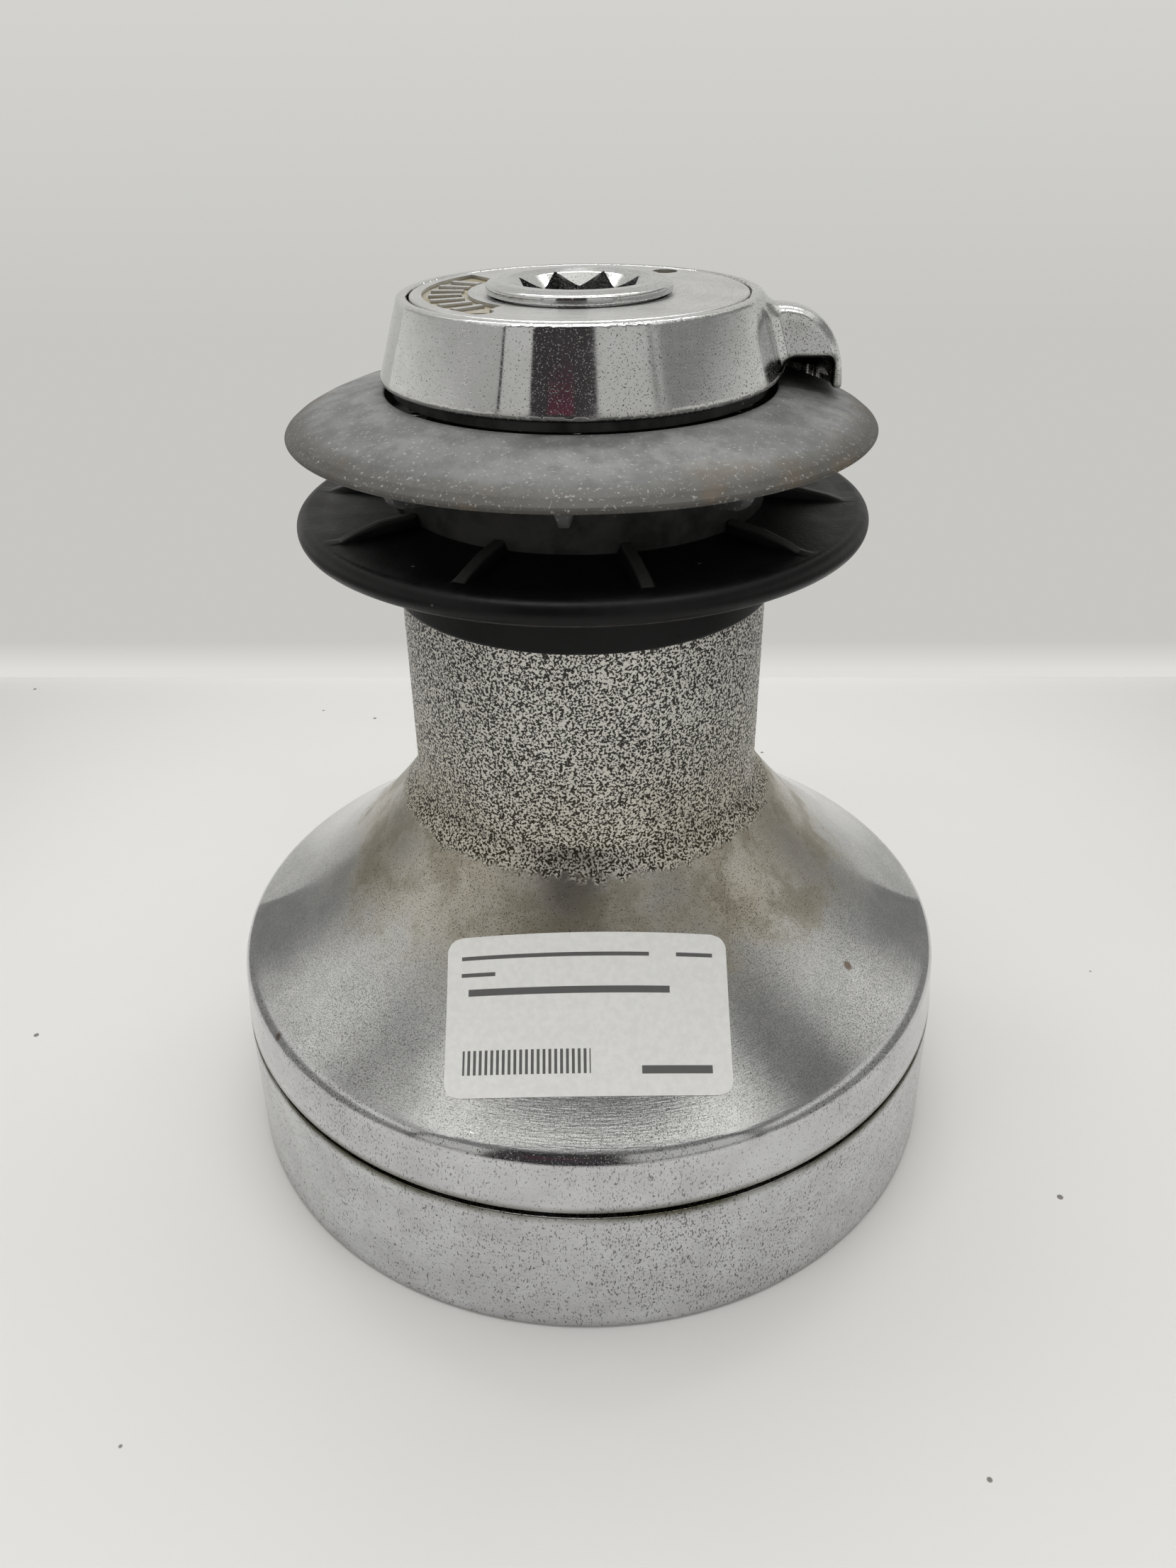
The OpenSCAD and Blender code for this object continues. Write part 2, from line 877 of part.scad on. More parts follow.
// Space that the upper jaw needs when it is lifted, with clearance, and the inside of the ring
module jaw_room() {
    rotate_extrude()
        polygon([[0, 140], [58.6, 140], [58.6, 167.6], [57, 168.1], [55.4, 168.9],
                 [53, 170.2], [50, 171.4], [46, 172.5], [39.5, ring_bottom_z - 0.05],
                 [36.6, ring_bottom_z - 0.05], [36.6, 179.5], [33, 181], [33, 190], [0, 190]]);
}

// Feeder arm: a hood over the jaw's edge, a finger outside both jaws and, between the jaws,
// the tongue that strips the rope out
module feeder_arm() {
    reach = 63.4;
    difference() {
        intersection() {
            hull() {
                slab(-7.3)
                    hood_section([35.5, 171], 12.4, 14.9);
                slab(-3.4)
                    hood_section([36, 170], 13.7, 16.9);
                slab(40)
                    hood_section([42, 164], 15, 16);
            }
            rod(reach, 165, 195);
        }
        jaw_room();
        hull() {
            slab(-12)
                tunnel_section(37.3, 46.6, 177.3);
            slab(37)
                tunnel_section(41.5, 52, 176.2);
        }
    }
    rotate(33)
        rotate_extrude(angle = 27)
            polygon([[58.7, 152.5], [60.4, 150.8], [62.6, 153], [reach, 164], [reach, 173.5],
                     [61.5, 176.6], [56, 177.2], [56, 172.5], [58.7, 170.5]]);
    rotate(52)
        rotate_extrude(angle = 8)
            polygon([[37.2, 153.3], [59, 153.3], [59, 158.2], [37.2, 158.2]]);
}

module feeder_ring() {
    top_r = 34;
    bottom_r = 38.5;
    mouth_r = 32.07;
    color("gainsboro")
    difference() {
        union() {
            rotate_extrude($fn = 180)
                polygon(concat(
                    [[ring_seat_r, feeder_seat_z], [32, feeder_seat_z], [34.6, 176.6],
                     [36.2, ring_bottom_z], [bottom_r - 1.3, ring_bottom_z]],
                    arc([bottom_r - 1.3, ring_bottom_z + 1.3], 1.3, -60, 15, 4),
                    arc([top_r - 0.5, rim_z - 0.7], 0.7, 15, 90, 4),
                    [[mouth_r, rim_z], [mouth_r, 184], [ring_seat_r, 184]]));
            feeder_arm();
        }
        translate([-2, ring_seat_r - 1, 170])
            cube([4, 3.5, 20]);
    }
}

module feeder_key() {
    color("lightgray")
    translate([-2, ring_seat_r - 1.5, 179])
        cube([4, 4, 5]);
}

module top_cap() {
    cap_r = 31.7;
    cap_z = 184.3;
    top_z = 188.9;
    recess_mid = 185;
    color("silver")
    difference() {
        rotate_extrude($fn = 180)
            polygon([[thread_r, cap_z], [cap_r, cap_z], [cap_r, top_z - 0.5],
                     [cap_r - 0.5, top_z], [20, top_z], [17.6, 188.4], [16.7, 188.4],
                     [16.7, stem_end_z + 0.3], [thread_r, stem_end_z + 0.3]]);
        for (a = [-129, 51])
            rotate(a)
                translate([27.4, 0, top_z - 3.4])
                    cylinder(r = 2.55, h = 5, $fn = 32);
        translate([0, 0, top_z - 0.7])
            linear_extrude(2)
                difference() {
                    recess_outline(recess_mid);
                    for (k = [-3:3])
                        rotate(recess_mid + k * 11)
                            translate([25, 0])
                                square([6.2, 1.5], center = true);
                }
    }
}

// Outline of the cap's shallow crescent recess, about the direction mid
module recess_outline(mid) {
    inner = 20.8;
    outer = 29.4;
    span = 48;
    polygon(concat(
        arc([0, 0], outer, mid - span, mid + span, 24),
        arc([0, 0], inner, mid + span - 4, mid - span + 4, 24)));
}

module price_label() {
    size = [57, 32];
    corner = 3;
    thick = 0.25;
    tilt = 41;
    flare = flare_points();
    color("white")
    intersection() {
        difference() {
            rotate_extrude($fn = 180)
                polygon(concat([for (p = flare) p + thick * [0.66, 0.75]], [[20, 30], [20, 120]]));
            rotate_extrude($fn = 180)
                polygon(concat([for (p = flare) p + 0.02 * [0.66, 0.75]], [[10, 20], [10, 130]]));
        }
        translate([-0.4, -60, 64.6])
            rotate([-90 + tilt + 90, 0, 0])
                translate([0, 0, -15])
                    linear_extrude(30) {
                        square([size.x - 2 * corner, size.y], center = true);
                        square([size.x, size.y - 2 * corner], center = true);
                        for (x = [-1, 1], y = [-1, 1])
                            translate([x * (size.x / 2 - corner), y * (size.y / 2 - corner)])
                                circle(r = corner, $fn = 32);
                    }
    }
}

base_housing();
center_stem();
stem_screws();
lower_spindle_bush();
stem_lower_bush();
stem_upper_bush();
spindle_washer();
main_spindle();
spindle_gear();
spindle_key();
spindle_snap_ring();
low_ratchet_gear();
low_pinion();
low_pawl_a();
low_pawl_b();
low_pawl_springs();
idler_gear();
high_carrier_gear();
high_pinion();
high_pawl_a();
high_pawl_b();
high_pawl_springs();
low_axle();
high_axle();
idler_axle();
gear_washers();
axle_circlips();
ring_gear();
lower_bearing_cage();
lower_rollers();
upper_bearing_cage();
upper_rollers();
bearing_spacer();
lower_thrust_washer();
upper_thrust_washer();
drum();
lower_jaw();
jaw_hub();
jaw_hub_screws();
jaw_springs();
jaw_retainer();
retainer_screws();
upper_jaw();
drum_collets();
feeder_ring();
feeder_key();
top_cap();
price_label();
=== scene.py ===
"""Looks of a two-speed self-tailing sailboat winch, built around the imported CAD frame.

Lengths are written in millimetres and become metres when a mesh is made.
"""

from math import acos, asin, atan2, cos, dist, hypot, pi, radians, sin, sqrt, tan

import bpy
import numpy as np
from mathutils import Euler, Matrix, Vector

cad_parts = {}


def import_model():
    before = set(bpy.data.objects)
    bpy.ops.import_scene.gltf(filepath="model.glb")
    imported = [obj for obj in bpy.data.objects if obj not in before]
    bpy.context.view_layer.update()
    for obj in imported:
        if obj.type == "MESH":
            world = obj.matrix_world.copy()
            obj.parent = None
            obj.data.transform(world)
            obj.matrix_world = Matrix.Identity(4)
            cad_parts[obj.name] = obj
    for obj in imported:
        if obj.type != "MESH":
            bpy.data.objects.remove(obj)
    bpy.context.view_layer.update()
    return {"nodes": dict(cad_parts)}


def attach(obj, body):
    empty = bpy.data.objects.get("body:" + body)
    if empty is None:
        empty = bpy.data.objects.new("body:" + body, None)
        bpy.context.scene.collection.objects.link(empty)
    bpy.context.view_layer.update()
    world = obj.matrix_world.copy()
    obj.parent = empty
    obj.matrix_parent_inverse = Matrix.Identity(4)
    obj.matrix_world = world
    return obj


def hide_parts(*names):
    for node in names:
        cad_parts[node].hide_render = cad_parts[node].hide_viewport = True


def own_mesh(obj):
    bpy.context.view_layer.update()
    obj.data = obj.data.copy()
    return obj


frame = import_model()

MM = 0.001
TURN = 2 * pi


# ---- Mesh helpers


def arc(cx, cz, radius, start, end, steps):
    """Points of an arc about (cx, cz), from start to end in degrees."""
    angles = np.radians(np.linspace(start, end, steps + 1))
    return [(cx + radius * cos(a), cz + radius * sin(a)) for a in angles]


def polar(radius, a):
    return radius * cos(a), radius * sin(a)


def rounded(points, steps=5):
    """Closed outline in which a point's third value is the radius of its corner."""
    out = []
    for i, point in enumerate(points):
        corner = np.array(point[:2], float)
        if len(point) < 3:
            out.append(tuple(corner))
            continue
        before = np.array(points[i - 1][:2], float) - corner
        after = np.array(points[(i + 1) % len(points)][:2], float) - corner
        before /= np.linalg.norm(before)
        after /= np.linalg.norm(after)
        half = acos(np.clip(before @ after, -1, 1)) / 2
        middle = (before + after) / np.linalg.norm(before + after)
        centre = corner + middle * point[2] / sin(half)
        first = corner + before * point[2] / tan(half) - centre
        last = corner + after * point[2] / tan(half) - centre
        a0 = atan2(first[1], first[0])
        sweep = (atan2(last[1], last[0]) - a0 + pi) % TURN - pi
        for k in range(steps + 1):
            a = a0 + sweep * k / steps
            out.append((centre[0] + point[2] * cos(a), centre[1] + point[2] * sin(a)))
    return out


def supported(outline, margin=0.35, step=6.0):
    """Outline with extra points beside the ends of its long sides, for even shading."""
    out = []
    for a, b in zip(outline, outline[1:] + outline[:1]):
        a, b = np.array(a, float), np.array(b, float)
        length = np.linalg.norm(b - a)
        out.append(tuple(a))
        if length > 4 * margin:
            count = max(1, int(length / step))
            inner = np.linspace(margin, length - margin, count + 1)
            out.extend(tuple(a + (b - a) * t / length) for t in inner)
    return out


def make_object(name, verts, faces, sharp=32):
    """Mesh object from millimetre points, smooth apart from edges above an angle."""
    mesh = bpy.data.meshes.new(name)
    mesh.from_pydata((np.array(verts, float) * MM).tolist(), [], faces)
    mesh.validate()
    shade(mesh, sharp)
    return add_object(name, mesh)


def add_object(name, data):
    obj = bpy.data.objects.new(name, data)
    bpy.context.scene.collection.objects.link(obj)
    return obj


def shade(mesh, sharp=32):
    mesh.shade_smooth()
    mesh.set_sharp_from_angle(angle=radians(sharp))


def lathe(name, outline, columns, sharp=32):
    """Turned solid: a closed outline of (r, z) points swept round Z.

    columns is how many columns there are, or a function from a radius to their angles.
    """
    outline = [tuple(p) for p in outline]
    area = sum(a[0] * b[1] - b[0] * a[1] for a, b in zip(outline, outline[1:] + outline[:1]))
    if area < 0:
        outline.reverse()
    verts, rings = [], []
    for r, z in outline:
        angles = columns(r) if callable(columns) else np.arange(columns) * TURN / columns
        if r < 1e-6:
            rings.append([len(verts)] * len(angles))
            verts.append((0, 0, z))
        else:
            rings.append(list(range(len(verts), len(verts) + len(angles))))
            verts.extend((r * cos(a), r * sin(a), z) for a in angles)
    faces = []
    for a, b in zip(rings, rings[1:] + rings[:1]):
        for quad in zip(a, a[1:] + a[:1], b[1:] + b[:1], b):
            quad = tuple(dict.fromkeys(quad))
            if len(quad) > 2:
                faces.append(quad)
    return make_object(name, verts, faces, sharp)


def prism(outline, z0, z1):
    """Upright solid from a closed (x, y) outline."""
    n = len(outline)
    verts = [(x, y, z) for z in (z0, z1) for x, y in outline]
    faces = [tuple(range(n - 1, -1, -1)), tuple(range(n, 2 * n))]
    faces += [(i, (i + 1) % n, n + (i + 1) % n, n + i) for i in range(n)]
    return make_object("cutter", verts, faces)


def rod(x, y, radius, z0, z1, sides=64):
    """Cylinder about an upright line."""
    angles = np.arange(sides) * TURN / sides
    return prism([(x + radius * cos(a), y + radius * sin(a)) for a in angles], z0, z1)


def block(x0, x1, y0, y1, z0, z1, turn=0.0):
    """Box, turned about Z by an angle in degrees."""
    c, s = cos(radians(turn)), sin(radians(turn))
    flat = [(x0, y0), (x1, y0), (x1, y1), (x0, y1)]
    return prism([(x * c - y * s, x * s + y * c) for x, y in flat], z0, z1)


def carve(obj, others, operation="DIFFERENCE"):
    """Cut the others out of obj, or join them to it, and apply the result."""
    for other in others:
        modifier = obj.modifiers.new("carve", "BOOLEAN")
        modifier.operation = operation
        modifier.object = other
        modifier.solver = "MANIFOLD"
    graph = bpy.context.evaluated_depsgraph_get()
    mesh = bpy.data.meshes.new_from_object(obj.evaluated_get(graph))
    obj.modifiers.clear()
    mesh.name = obj.name
    obj.data = mesh
    for other in others:
        bpy.data.objects.remove(other)
    shade(mesh)
    return obj


def read_points(mesh):
    """Mesh points in millimetres, one row each."""
    co = np.empty(len(mesh.vertices) * 3)
    mesh.vertices.foreach_get("co", co)
    return co.reshape(-1, 3) / MM


def write_points(mesh, points):
    mesh.vertices.foreach_set("co", (points * MM).ravel())
    mesh.update()


def write_attribute(mesh, name, values):
    """Store one number per point for the material to read."""
    attribute = mesh.attributes.new(name, "FLOAT", "POINT")
    attribute.data.foreach_set("value", np.asarray(values, np.float32))


# ---- Implicit casting


def outline_distance(outline, r, z):
    """Signed distance from (r, z) to a closed outline, negative inside."""
    best = np.full(np.shape(r), 1e9)
    inside = np.zeros(np.shape(r), bool)
    for (ar, az), (br, bz) in zip(outline, outline[1:] + outline[:1]):
        er, ez = br - ar, bz - az
        wr, wz = r - ar, z - az
        t = np.clip((wr * er + wz * ez) / (er * er + ez * ez), 0, 1)
        best = np.minimum(best, (wr - t * er) ** 2 + (wz - t * ez) ** 2)
        above = er * wz > ez * wr
        inside ^= ((z >= az) & (z < bz) & above) | ((z < az) & (z >= bz) & ~above)
    return np.sqrt(best) * np.where(inside, -1, 1)


def join(a, b, k):
    """Union of two distances with a fillet of about k."""
    h = np.clip(0.5 + 0.5 * (b - a) / k, 0, 1)
    return b + (a - b) * h - k * h * (1 - h)


def both(a, b, k):
    """Intersection of two distances with a rounding of about k."""
    return -join(-a, -b, k)


def surface_net(function, low, high, step):
    """Closed quad mesh of a distance function's zero surface, and its normals."""
    axes = [np.arange(a, b + step, step) for a, b in zip(low, high)]
    grid = np.meshgrid(*axes, indexing="ij")
    values = function(*grid)
    inside = values < 0
    corners = [(i, j, k) for i in (0, 1) for j in (0, 1) for k in (0, 1)]
    size = np.array(values.shape) - 1

    def corner(array, c):
        return array[tuple(slice(o, o + n) for o, n in zip(c, size))]

    count = sum(corner(inside, c).astype(int) for c in corners)
    mixed = (count > 0) & (count < 8)
    index = np.full(mixed.shape, -1)
    index[mixed] = np.arange(mixed.sum())
    cells = np.argwhere(mixed)
    total = np.zeros((len(cells), 3))
    weight = np.zeros(len(cells))
    for c in corners:
        for axis in range(3):
            if c[axis]:
                continue
            d = tuple(o + (a == axis) for a, o in enumerate(c))
            v0, v1 = (values[tuple((cells + o).T)] for o in (c, d))
            crossing = (v0 < 0) != (v1 < 0)
            share = np.where(crossing, v0 / np.where(v0 == v1, 1, v0 - v1), 0)
            point = np.array(c, float)[None, :].repeat(len(cells), 0)
            point[:, axis] += share
            total += point * crossing[:, None]
            weight += crossing
    points = np.array(low) + (cells + total / weight[:, None]) * step

    faces = []
    for axis in range(3):
        u, v = (axis + 1) % 3, (axis + 2) % 3
        first = [slice(None)] * 3
        second = [slice(None)] * 3
        first[axis], second[axis] = slice(None, -1), slice(1, None)
        a, b = inside[tuple(first)], inside[tuple(second)]
        for flip, where in ((False, a & ~b), (True, ~a & b)):
            edge = np.argwhere(where)
            edge = edge[(edge[:, u] > 0) & (edge[:, v] > 0)]
            edge = edge[(edge[:, u] < size[u]) & (edge[:, v] < size[v])]
            ring = []
            for du, dv in ((-1, -1), (0, -1), (0, 0), (-1, 0)):
                cell = edge.copy()
                cell[:, u] += du
                cell[:, v] += dv
                ring.append(index[tuple(cell.T)])
            faces.append(np.stack(ring[::-1] if flip else ring, 1))
    faces = np.concatenate(faces)

    def gradient(p):
        g, h = np.empty_like(p), 0.02
        for axis in range(3):
            q = p.copy()
            q[:, axis] += h
            plus = function(*q.T)
            q[:, axis] -= 2 * h
            g[:, axis] = (plus - function(*q.T)) / (2 * h)
        return g

    pairs = np.concatenate([faces[:, [k, (k + 1) % 4]] for k in range(4)])
    for sweep in range(4):
        if sweep:
            mean = np.zeros_like(points)
            near = np.zeros(len(points))
            np.add.at(mean, pairs[:, 0], points[pairs[:, 1]])
            np.add.at(near, pairs[:, 0], 1)
            points = 0.5 * points + 0.5 * mean / np.maximum(near, 1)[:, None]
        for _ in range(2):
            g = gradient(points)
            pull = function(*points.T) / np.maximum((g * g).sum(1), 0.05)
            points -= g * np.clip(pull, -step, step)[:, None]
    g = gradient(points)
    return points, faces, g / np.maximum(np.linalg.norm(g, axis=1), 1e-9)[:, None]


# ---- Materials


# Sockets of a Mix node that mixes colours
MIX_A, MIX_B, MIX_COLOR = 6, 7, 2


class Paint:
    """Short way to write a material's node tree. Colours are linear."""

    def __init__(self, name):
        self.material = bpy.data.materials.new(name)
        self.material.use_nodes = True
        self.tree = self.material.node_tree
        self.shader = self.tree.nodes["Principled BSDF"]
        self.at = self.node("ShaderNodeTexCoord").outputs["Object"]

    def node(self, kind, **settings):
        made = self.tree.nodes.new(kind)
        for key, value in settings.items():
            setattr(made, key, value)
        return made

    def put(self, socket, value):
        if isinstance(value, bpy.types.NodeSocket):
            self.tree.links.new(value, socket)
        elif isinstance(value, tuple) and len(value) == 3 and socket.type == "RGBA":
            socket.default_value = (*value, 1)
        else:
            socket.default_value = value

    def math(self, operation, a, b=0.0, clamp=False):
        made = self.node("ShaderNodeMath", operation=operation, use_clamp=clamp)
        self.put(made.inputs[0], a)
        self.put(made.inputs[1], b)
        return made.outputs[0]

    def times(self, a, b):
        return self.math("MULTIPLY", a, b)

    def plus(self, a, b, clamp=False):
        return self.math("ADD", a, b, clamp)

    def minus(self, a, b):
        return self.math("SUBTRACT", a, b)

    def scaled(self, x, y, z):
        """Object coordinates stretched by three factors."""
        made = self.node("ShaderNodeVectorMath", operation="MULTIPLY")
        self.put(made.inputs[0], self.at)
        self.put(made.inputs[1], (x, y, z))
        return made.outputs[0]

    def axes(self):
        made = self.node("ShaderNodeSeparateXYZ")
        self.put(made.inputs[0], self.at)
        return made.outputs

    def radius(self):
        """Distance from the Z axis, in metres."""
        made = self.node("ShaderNodeVectorMath", operation="LENGTH")
        self.put(made.inputs[0], self.scaled(1, 1, 0))
        return made.outputs["Value"]

    def noise(self, vector, scale, detail, roughness):
        made = self.node("ShaderNodeTexNoise")
        self.put(made.inputs["Vector"], vector)
        self.put(made.inputs["Scale"], scale)
        self.put(made.inputs["Detail"], detail)
        self.put(made.inputs["Roughness"], roughness)
        return made.outputs["Fac"]

    def spots(self, scale, detail, roughness=0.5):
        """Noise that isn't stretched."""
        return self.noise(self.scaled(1, 1, 1), scale, detail, roughness)

    def cells(self, scale):
        """Distance to the nearest of a field of scattered points."""
        made = self.node("ShaderNodeTexVoronoi")
        self.put(made.inputs["Vector"], self.scaled(1, 1, 1))
        self.put(made.inputs["Scale"], scale)
        return made.outputs["Distance"]

    def span(self, value, low, high, out_low=0.0, out_high=1.0):
        """Smooth step of value from low to high, between two results."""
        made = self.node("ShaderNodeMapRange", interpolation_type="SMOOTHSTEP")
        for key, number in zip(("Value", "From Min", "From Max", "To Min", "To Max"),
                               (value, low, high, out_low, out_high)):
            self.put(made.inputs[key], number)
        return made.outputs["Result"]

    def vary(self, noise, low=0.0, high=1.0):
        """A noise's usual range, widened to run from low to high."""
        return self.span(noise, 0.3, 0.7, low, high)

    def dent(self, pits, depth, normal):
        """Bump that goes in where pits is 1."""
        return self.bump(self.times(pits, -1.0), depth, normal=normal)

    def mix(self, factor, a, b):
        """Colour between a and b."""
        made = self.node("ShaderNodeMix", data_type="RGBA")
        self.put(made.inputs[0], factor)
        self.put(made.inputs[MIX_A], a)
        self.put(made.inputs[MIX_B], b)
        return made.outputs[MIX_COLOR]

    def attribute(self, name):
        """Number that write_attribute stored."""
        made = self.node("ShaderNodeAttribute", attribute_name=name)
        return made.outputs["Fac"]

    def bump(self, height, distance, normal=None):
        made = self.node("ShaderNodeBump")
        self.put(made.inputs["Height"], height)
        self.put(made.inputs["Distance"], distance)
        if normal is not None:
            self.put(made.inputs["Normal"], normal)
        return made.outputs["Normal"]

    def finish(self, color, metallic, roughness, normal=None, **others):
        self.put(self.shader.inputs["Base Color"], color)
        self.put(self.shader.inputs["Metallic"], metallic)
        self.put(self.shader.inputs["Roughness"], roughness)
        if normal is not None:
            self.put(self.shader.inputs["Normal"], normal)
        for key, value in others.items():
            socket = key.replace("_", " ").title().replace("Ior", "IOR")
            self.put(self.shader.inputs[socket], value)
        return self.material


CHROME = (0.66, 0.665, 0.67)
PIT = (0.075, 0.068, 0.058)
OLIVE = (0.26, 0.235, 0.165)
TAN = (0.50, 0.46, 0.38)
GRIME = (0.10, 0.095, 0.06)
RUST = (0.16, 0.10, 0.055)


def polished_chrome():
    """Hand-polished chrome of the feeder ring and spindle: mirror with pits and fine scratches,
    and painted shade inside the arm's arch.
    """
    p = Paint("polished_chrome")
    x, _, z = p.axes()[0:3]
    patch = p.spots(60, 3, 0.6)
    worn = p.span(p.plus(x, p.times(patch, 0.02)), 0.0, 0.028)
    fine = p.spots(3600, 1.5, 0.5)
    limit = p.minus(0.335, p.times(worn, -0.035))
    pit = p.span(p.minus(limit, fine), -0.02, 0.03)
    scratch = p.noise(p.scaled(1, 1, 14), 260, 3, 0.65)
    cloud = p.spots(120, 4, 0.65)
    arch_shade = p.attribute("arch_shade")
    crest = p.span(z, 0.1746, 0.1762, 1.0, 0.0)
    color = p.mix(p.span(cloud, 0.35, 0.7), (0.60, 0.605, 0.60), CHROME)
    color = p.mix(p.times(crest, 0.35), color, (0.36, 0.34, 0.30))
    color = p.mix(p.times(pit, 0.75), color, PIT)
    # Painted shade inside the arm's arch: dark green, then near black deeper in, read from the
    # attribute that feeder_ring stores.
    color = p.mix(p.span(arch_shade, 0.05, 0.5, 0.0, 0.45), color, (0.055, 0.085, 0.035))
    color = p.mix(p.span(arch_shade, 0.45, 0.9), color, (0.006, 0.007, 0.004))
    rough = p.plus(p.span(scratch, 0.42, 0.68, 0.03, 0.11), p.times(p.plus(worn, crest), 0.10))
    rough = p.plus(rough, p.times(pit, 0.3), clamp=True)
    wave = p.bump(p.noise(p.scaled(1, 1, 0.7), 45, 2, 0.4), 0.00009)
    normal = p.bump(scratch, 0.000008, normal=wave)
    normal = p.dent(pit, 0.00006, normal)
    return p.finish(color, 1.0, rough, normal)


def satin_chrome(name, groove_z):
    """Worn chrome of the base: brushed round, with short upright dark pits and painted shade along
    its foot.
    """
    p = Paint(name)
    z = p.axes()[2]
    brushed = p.noise(p.scaled(1, 1, 22), 240, 3, 0.6)
    streak = p.noise(p.scaled(1, 1, 0.42), 3000, 2, 0.55)
    patch = p.spots(34, 4, 0.6)
    density = p.span(patch, 0.3, 0.72, -0.035, 0.03)
    pit = p.span(p.minus(p.plus(density, 0.40), streak), -0.015, 0.05)
    cloud = p.spots(90, 4, 0.65)
    color = p.mix(p.vary(cloud), (0.55, 0.55, 0.56), CHROME)
    edge = p.span(z, groove_z - 0.0022, groove_z)
    dirt = p.times(edge, p.span(patch, 0.25, 0.6, 0.35, 0.95))
    color = p.mix(dirt, color, GRIME)
    # Painted shade: darker towards the bottom, where the base meets the floor.
    foot = p.span(z, 0.0, 0.0035, 0.35, 0.0)
    color = p.mix(foot, color, (0.16, 0.15, 0.13))
    color = p.mix(p.times(pit, 0.72), color, PIT)
    rust = p.span(p.cells(42), 0.035, 0.06, 0.8, 0.0)
    color = p.mix(rust, color, RUST)
    rough = p.plus(p.vary(brushed, 0.20, 0.34), p.times(pit, 0.25))
    normal = p.bump(brushed, 0.000022)
    normal = p.dent(pit, 0.00008, normal)
    return p.finish(color, 1.0, rough, normal)


def drum_chrome():
    """The drum: rough barrel, tarnished fillet, satin cone and brushed band."""
    p = Paint("drum_chrome")
    z = p.axes()[2]
    grip = p.attribute("grip")
    sand = p.spots(2100, 2, 0.55)
    hollow = p.span(p.minus(sand, p.times(p.attribute("hollow"), 0.05)), 0.44, 0.51, 1.0, 0.0)
    patch = p.spots(30, 4, 0.6)
    cloud = p.spots(85, 5, 0.65)
    brushed = p.noise(p.scaled(1, 1, 22), 240, 3, 0.6)
    streak = p.noise(p.scaled(1, 1, 0.42), 3000, 2, 0.55)
    fine = p.spots(3600, 2, 0.5)
    band = p.span(z, 0.0475, 0.0495, 1.0, 0.0)
    ragged = p.plus(z, p.times(p.minus(cloud, 0.5), 0.02))
    tarnish = p.times(p.span(ragged, 0.058, 0.074), p.span(z, 0.084, 0.0865, 1.0, 0.35))
    # cone
    cone = p.mix(p.vary(cloud), (0.56, 0.565, 0.565), (0.70, 0.705, 0.705))
    cone = p.mix(p.span(fine, 0.40, 0.56), p.mix(0.38, cone, PIT), cone)
    cone = p.mix(p.times(tarnish, p.span(patch, 0.35, 0.65, 0.55, 1.0)), cone, TAN)
    olive = p.times(tarnish, p.span(cloud, 0.44, 0.62))
    cone = p.mix(p.times(olive, 0.6), cone, OLIVE)
    density = p.plus(p.vary(patch, 0.30, 0.385), p.times(tarnish, 0.045))
    speck = p.span(p.minus(density, fine), -0.01, 0.04)
    cone = p.mix(p.times(speck, 0.75), cone, PIT)
    # band
    upright = p.span(p.minus(p.vary(patch, 0.35, 0.42), streak), -0.015, 0.05)
    ring = p.mix(p.vary(cloud), (0.55, 0.55, 0.56), CHROME)
    edge = p.span(z, 0.0342, 0.0362, 1.0, 0.0)
    ring = p.mix(p.times(edge, p.span(patch, 0.25, 0.6, 0.3, 0.9)), ring, GRIME)
    ring = p.mix(p.times(upright, 0.70), ring, PIT)
    color = p.mix(band, cone, ring)
    rust = p.span(p.cells(38), 0.03, 0.055, 0.8, 0.0)
    color = p.mix(rust, color, RUST)
    # barrel
    lower = p.span(z, 0.084, 0.118, 1.0, 0.0)
    metal = p.mix(p.times(lower, p.span(patch, 0.3, 0.65, 0.35, 0.95)),
                  (0.78, 0.76, 0.715), (0.68, 0.64, 0.545))
    shadow = p.mix(lower, (0.055, 0.052, 0.046), (0.052, 0.046, 0.032))
    grain = p.mix(hollow, metal, shadow)
    color = p.mix(grip, color, grain)
    rough = p.plus(p.vary(patch, 0.15, 0.24),
                   p.times(tarnish, p.span(cloud, 0.35, 0.65, 0.05, 0.16)))
    rough = p.times(rough, p.span(z, 0.052, 0.062, 0.35, 1.0))
    rough = p.plus(rough, p.times(grip, 0.22))
    rough = p.plus(rough, p.times(band, 0.03))
    normal = p.bump(brushed, 0.00002)
    normal = p.dent(speck, 0.00005, normal)
    return p.finish(color, 1.0, rough, normal)


def brushed_cap():
    """The top cap: turned face with fine rings, pitted on one side."""
    p = Paint("brushed_cap")
    x, _, z = p.axes()[0:3]
    radius = p.radius()
    turned = p.noise(radius, 2600, 2, 0.6)
    cloud = p.spots(110, 4, 0.6)
    fine = p.spots(3600, 1.5, 0.5)
    side = p.span(x, -0.01, 0.02, 0.0, 0.045)
    pit = p.span(p.minus(p.plus(side, 0.315), fine), -0.02, 0.03)
    color = p.mix(p.vary(cloud), (0.55, 0.55, 0.55), (0.65, 0.65, 0.645))
    deep = p.span(z, 0.18825, 0.1886, 1.0, 0.0)
    recess = p.times(deep, p.span(radius, 0.0196, 0.0204))
    color = p.mix(p.times(recess, p.span(cloud, 0.3, 0.6, 0.55, 0.9)), color, (0.30, 0.26, 0.17))
    color = p.mix(p.times(pit, 0.7), color, PIT)
    rough = p.plus(p.vary(turned, 0.24, 0.36), p.times(recess, 0.3))
    normal = p.bump(turned, 0.000012)
    normal = p.dent(pit, 0.00006, normal)
    return p.finish(color, 1.0, rough, normal)


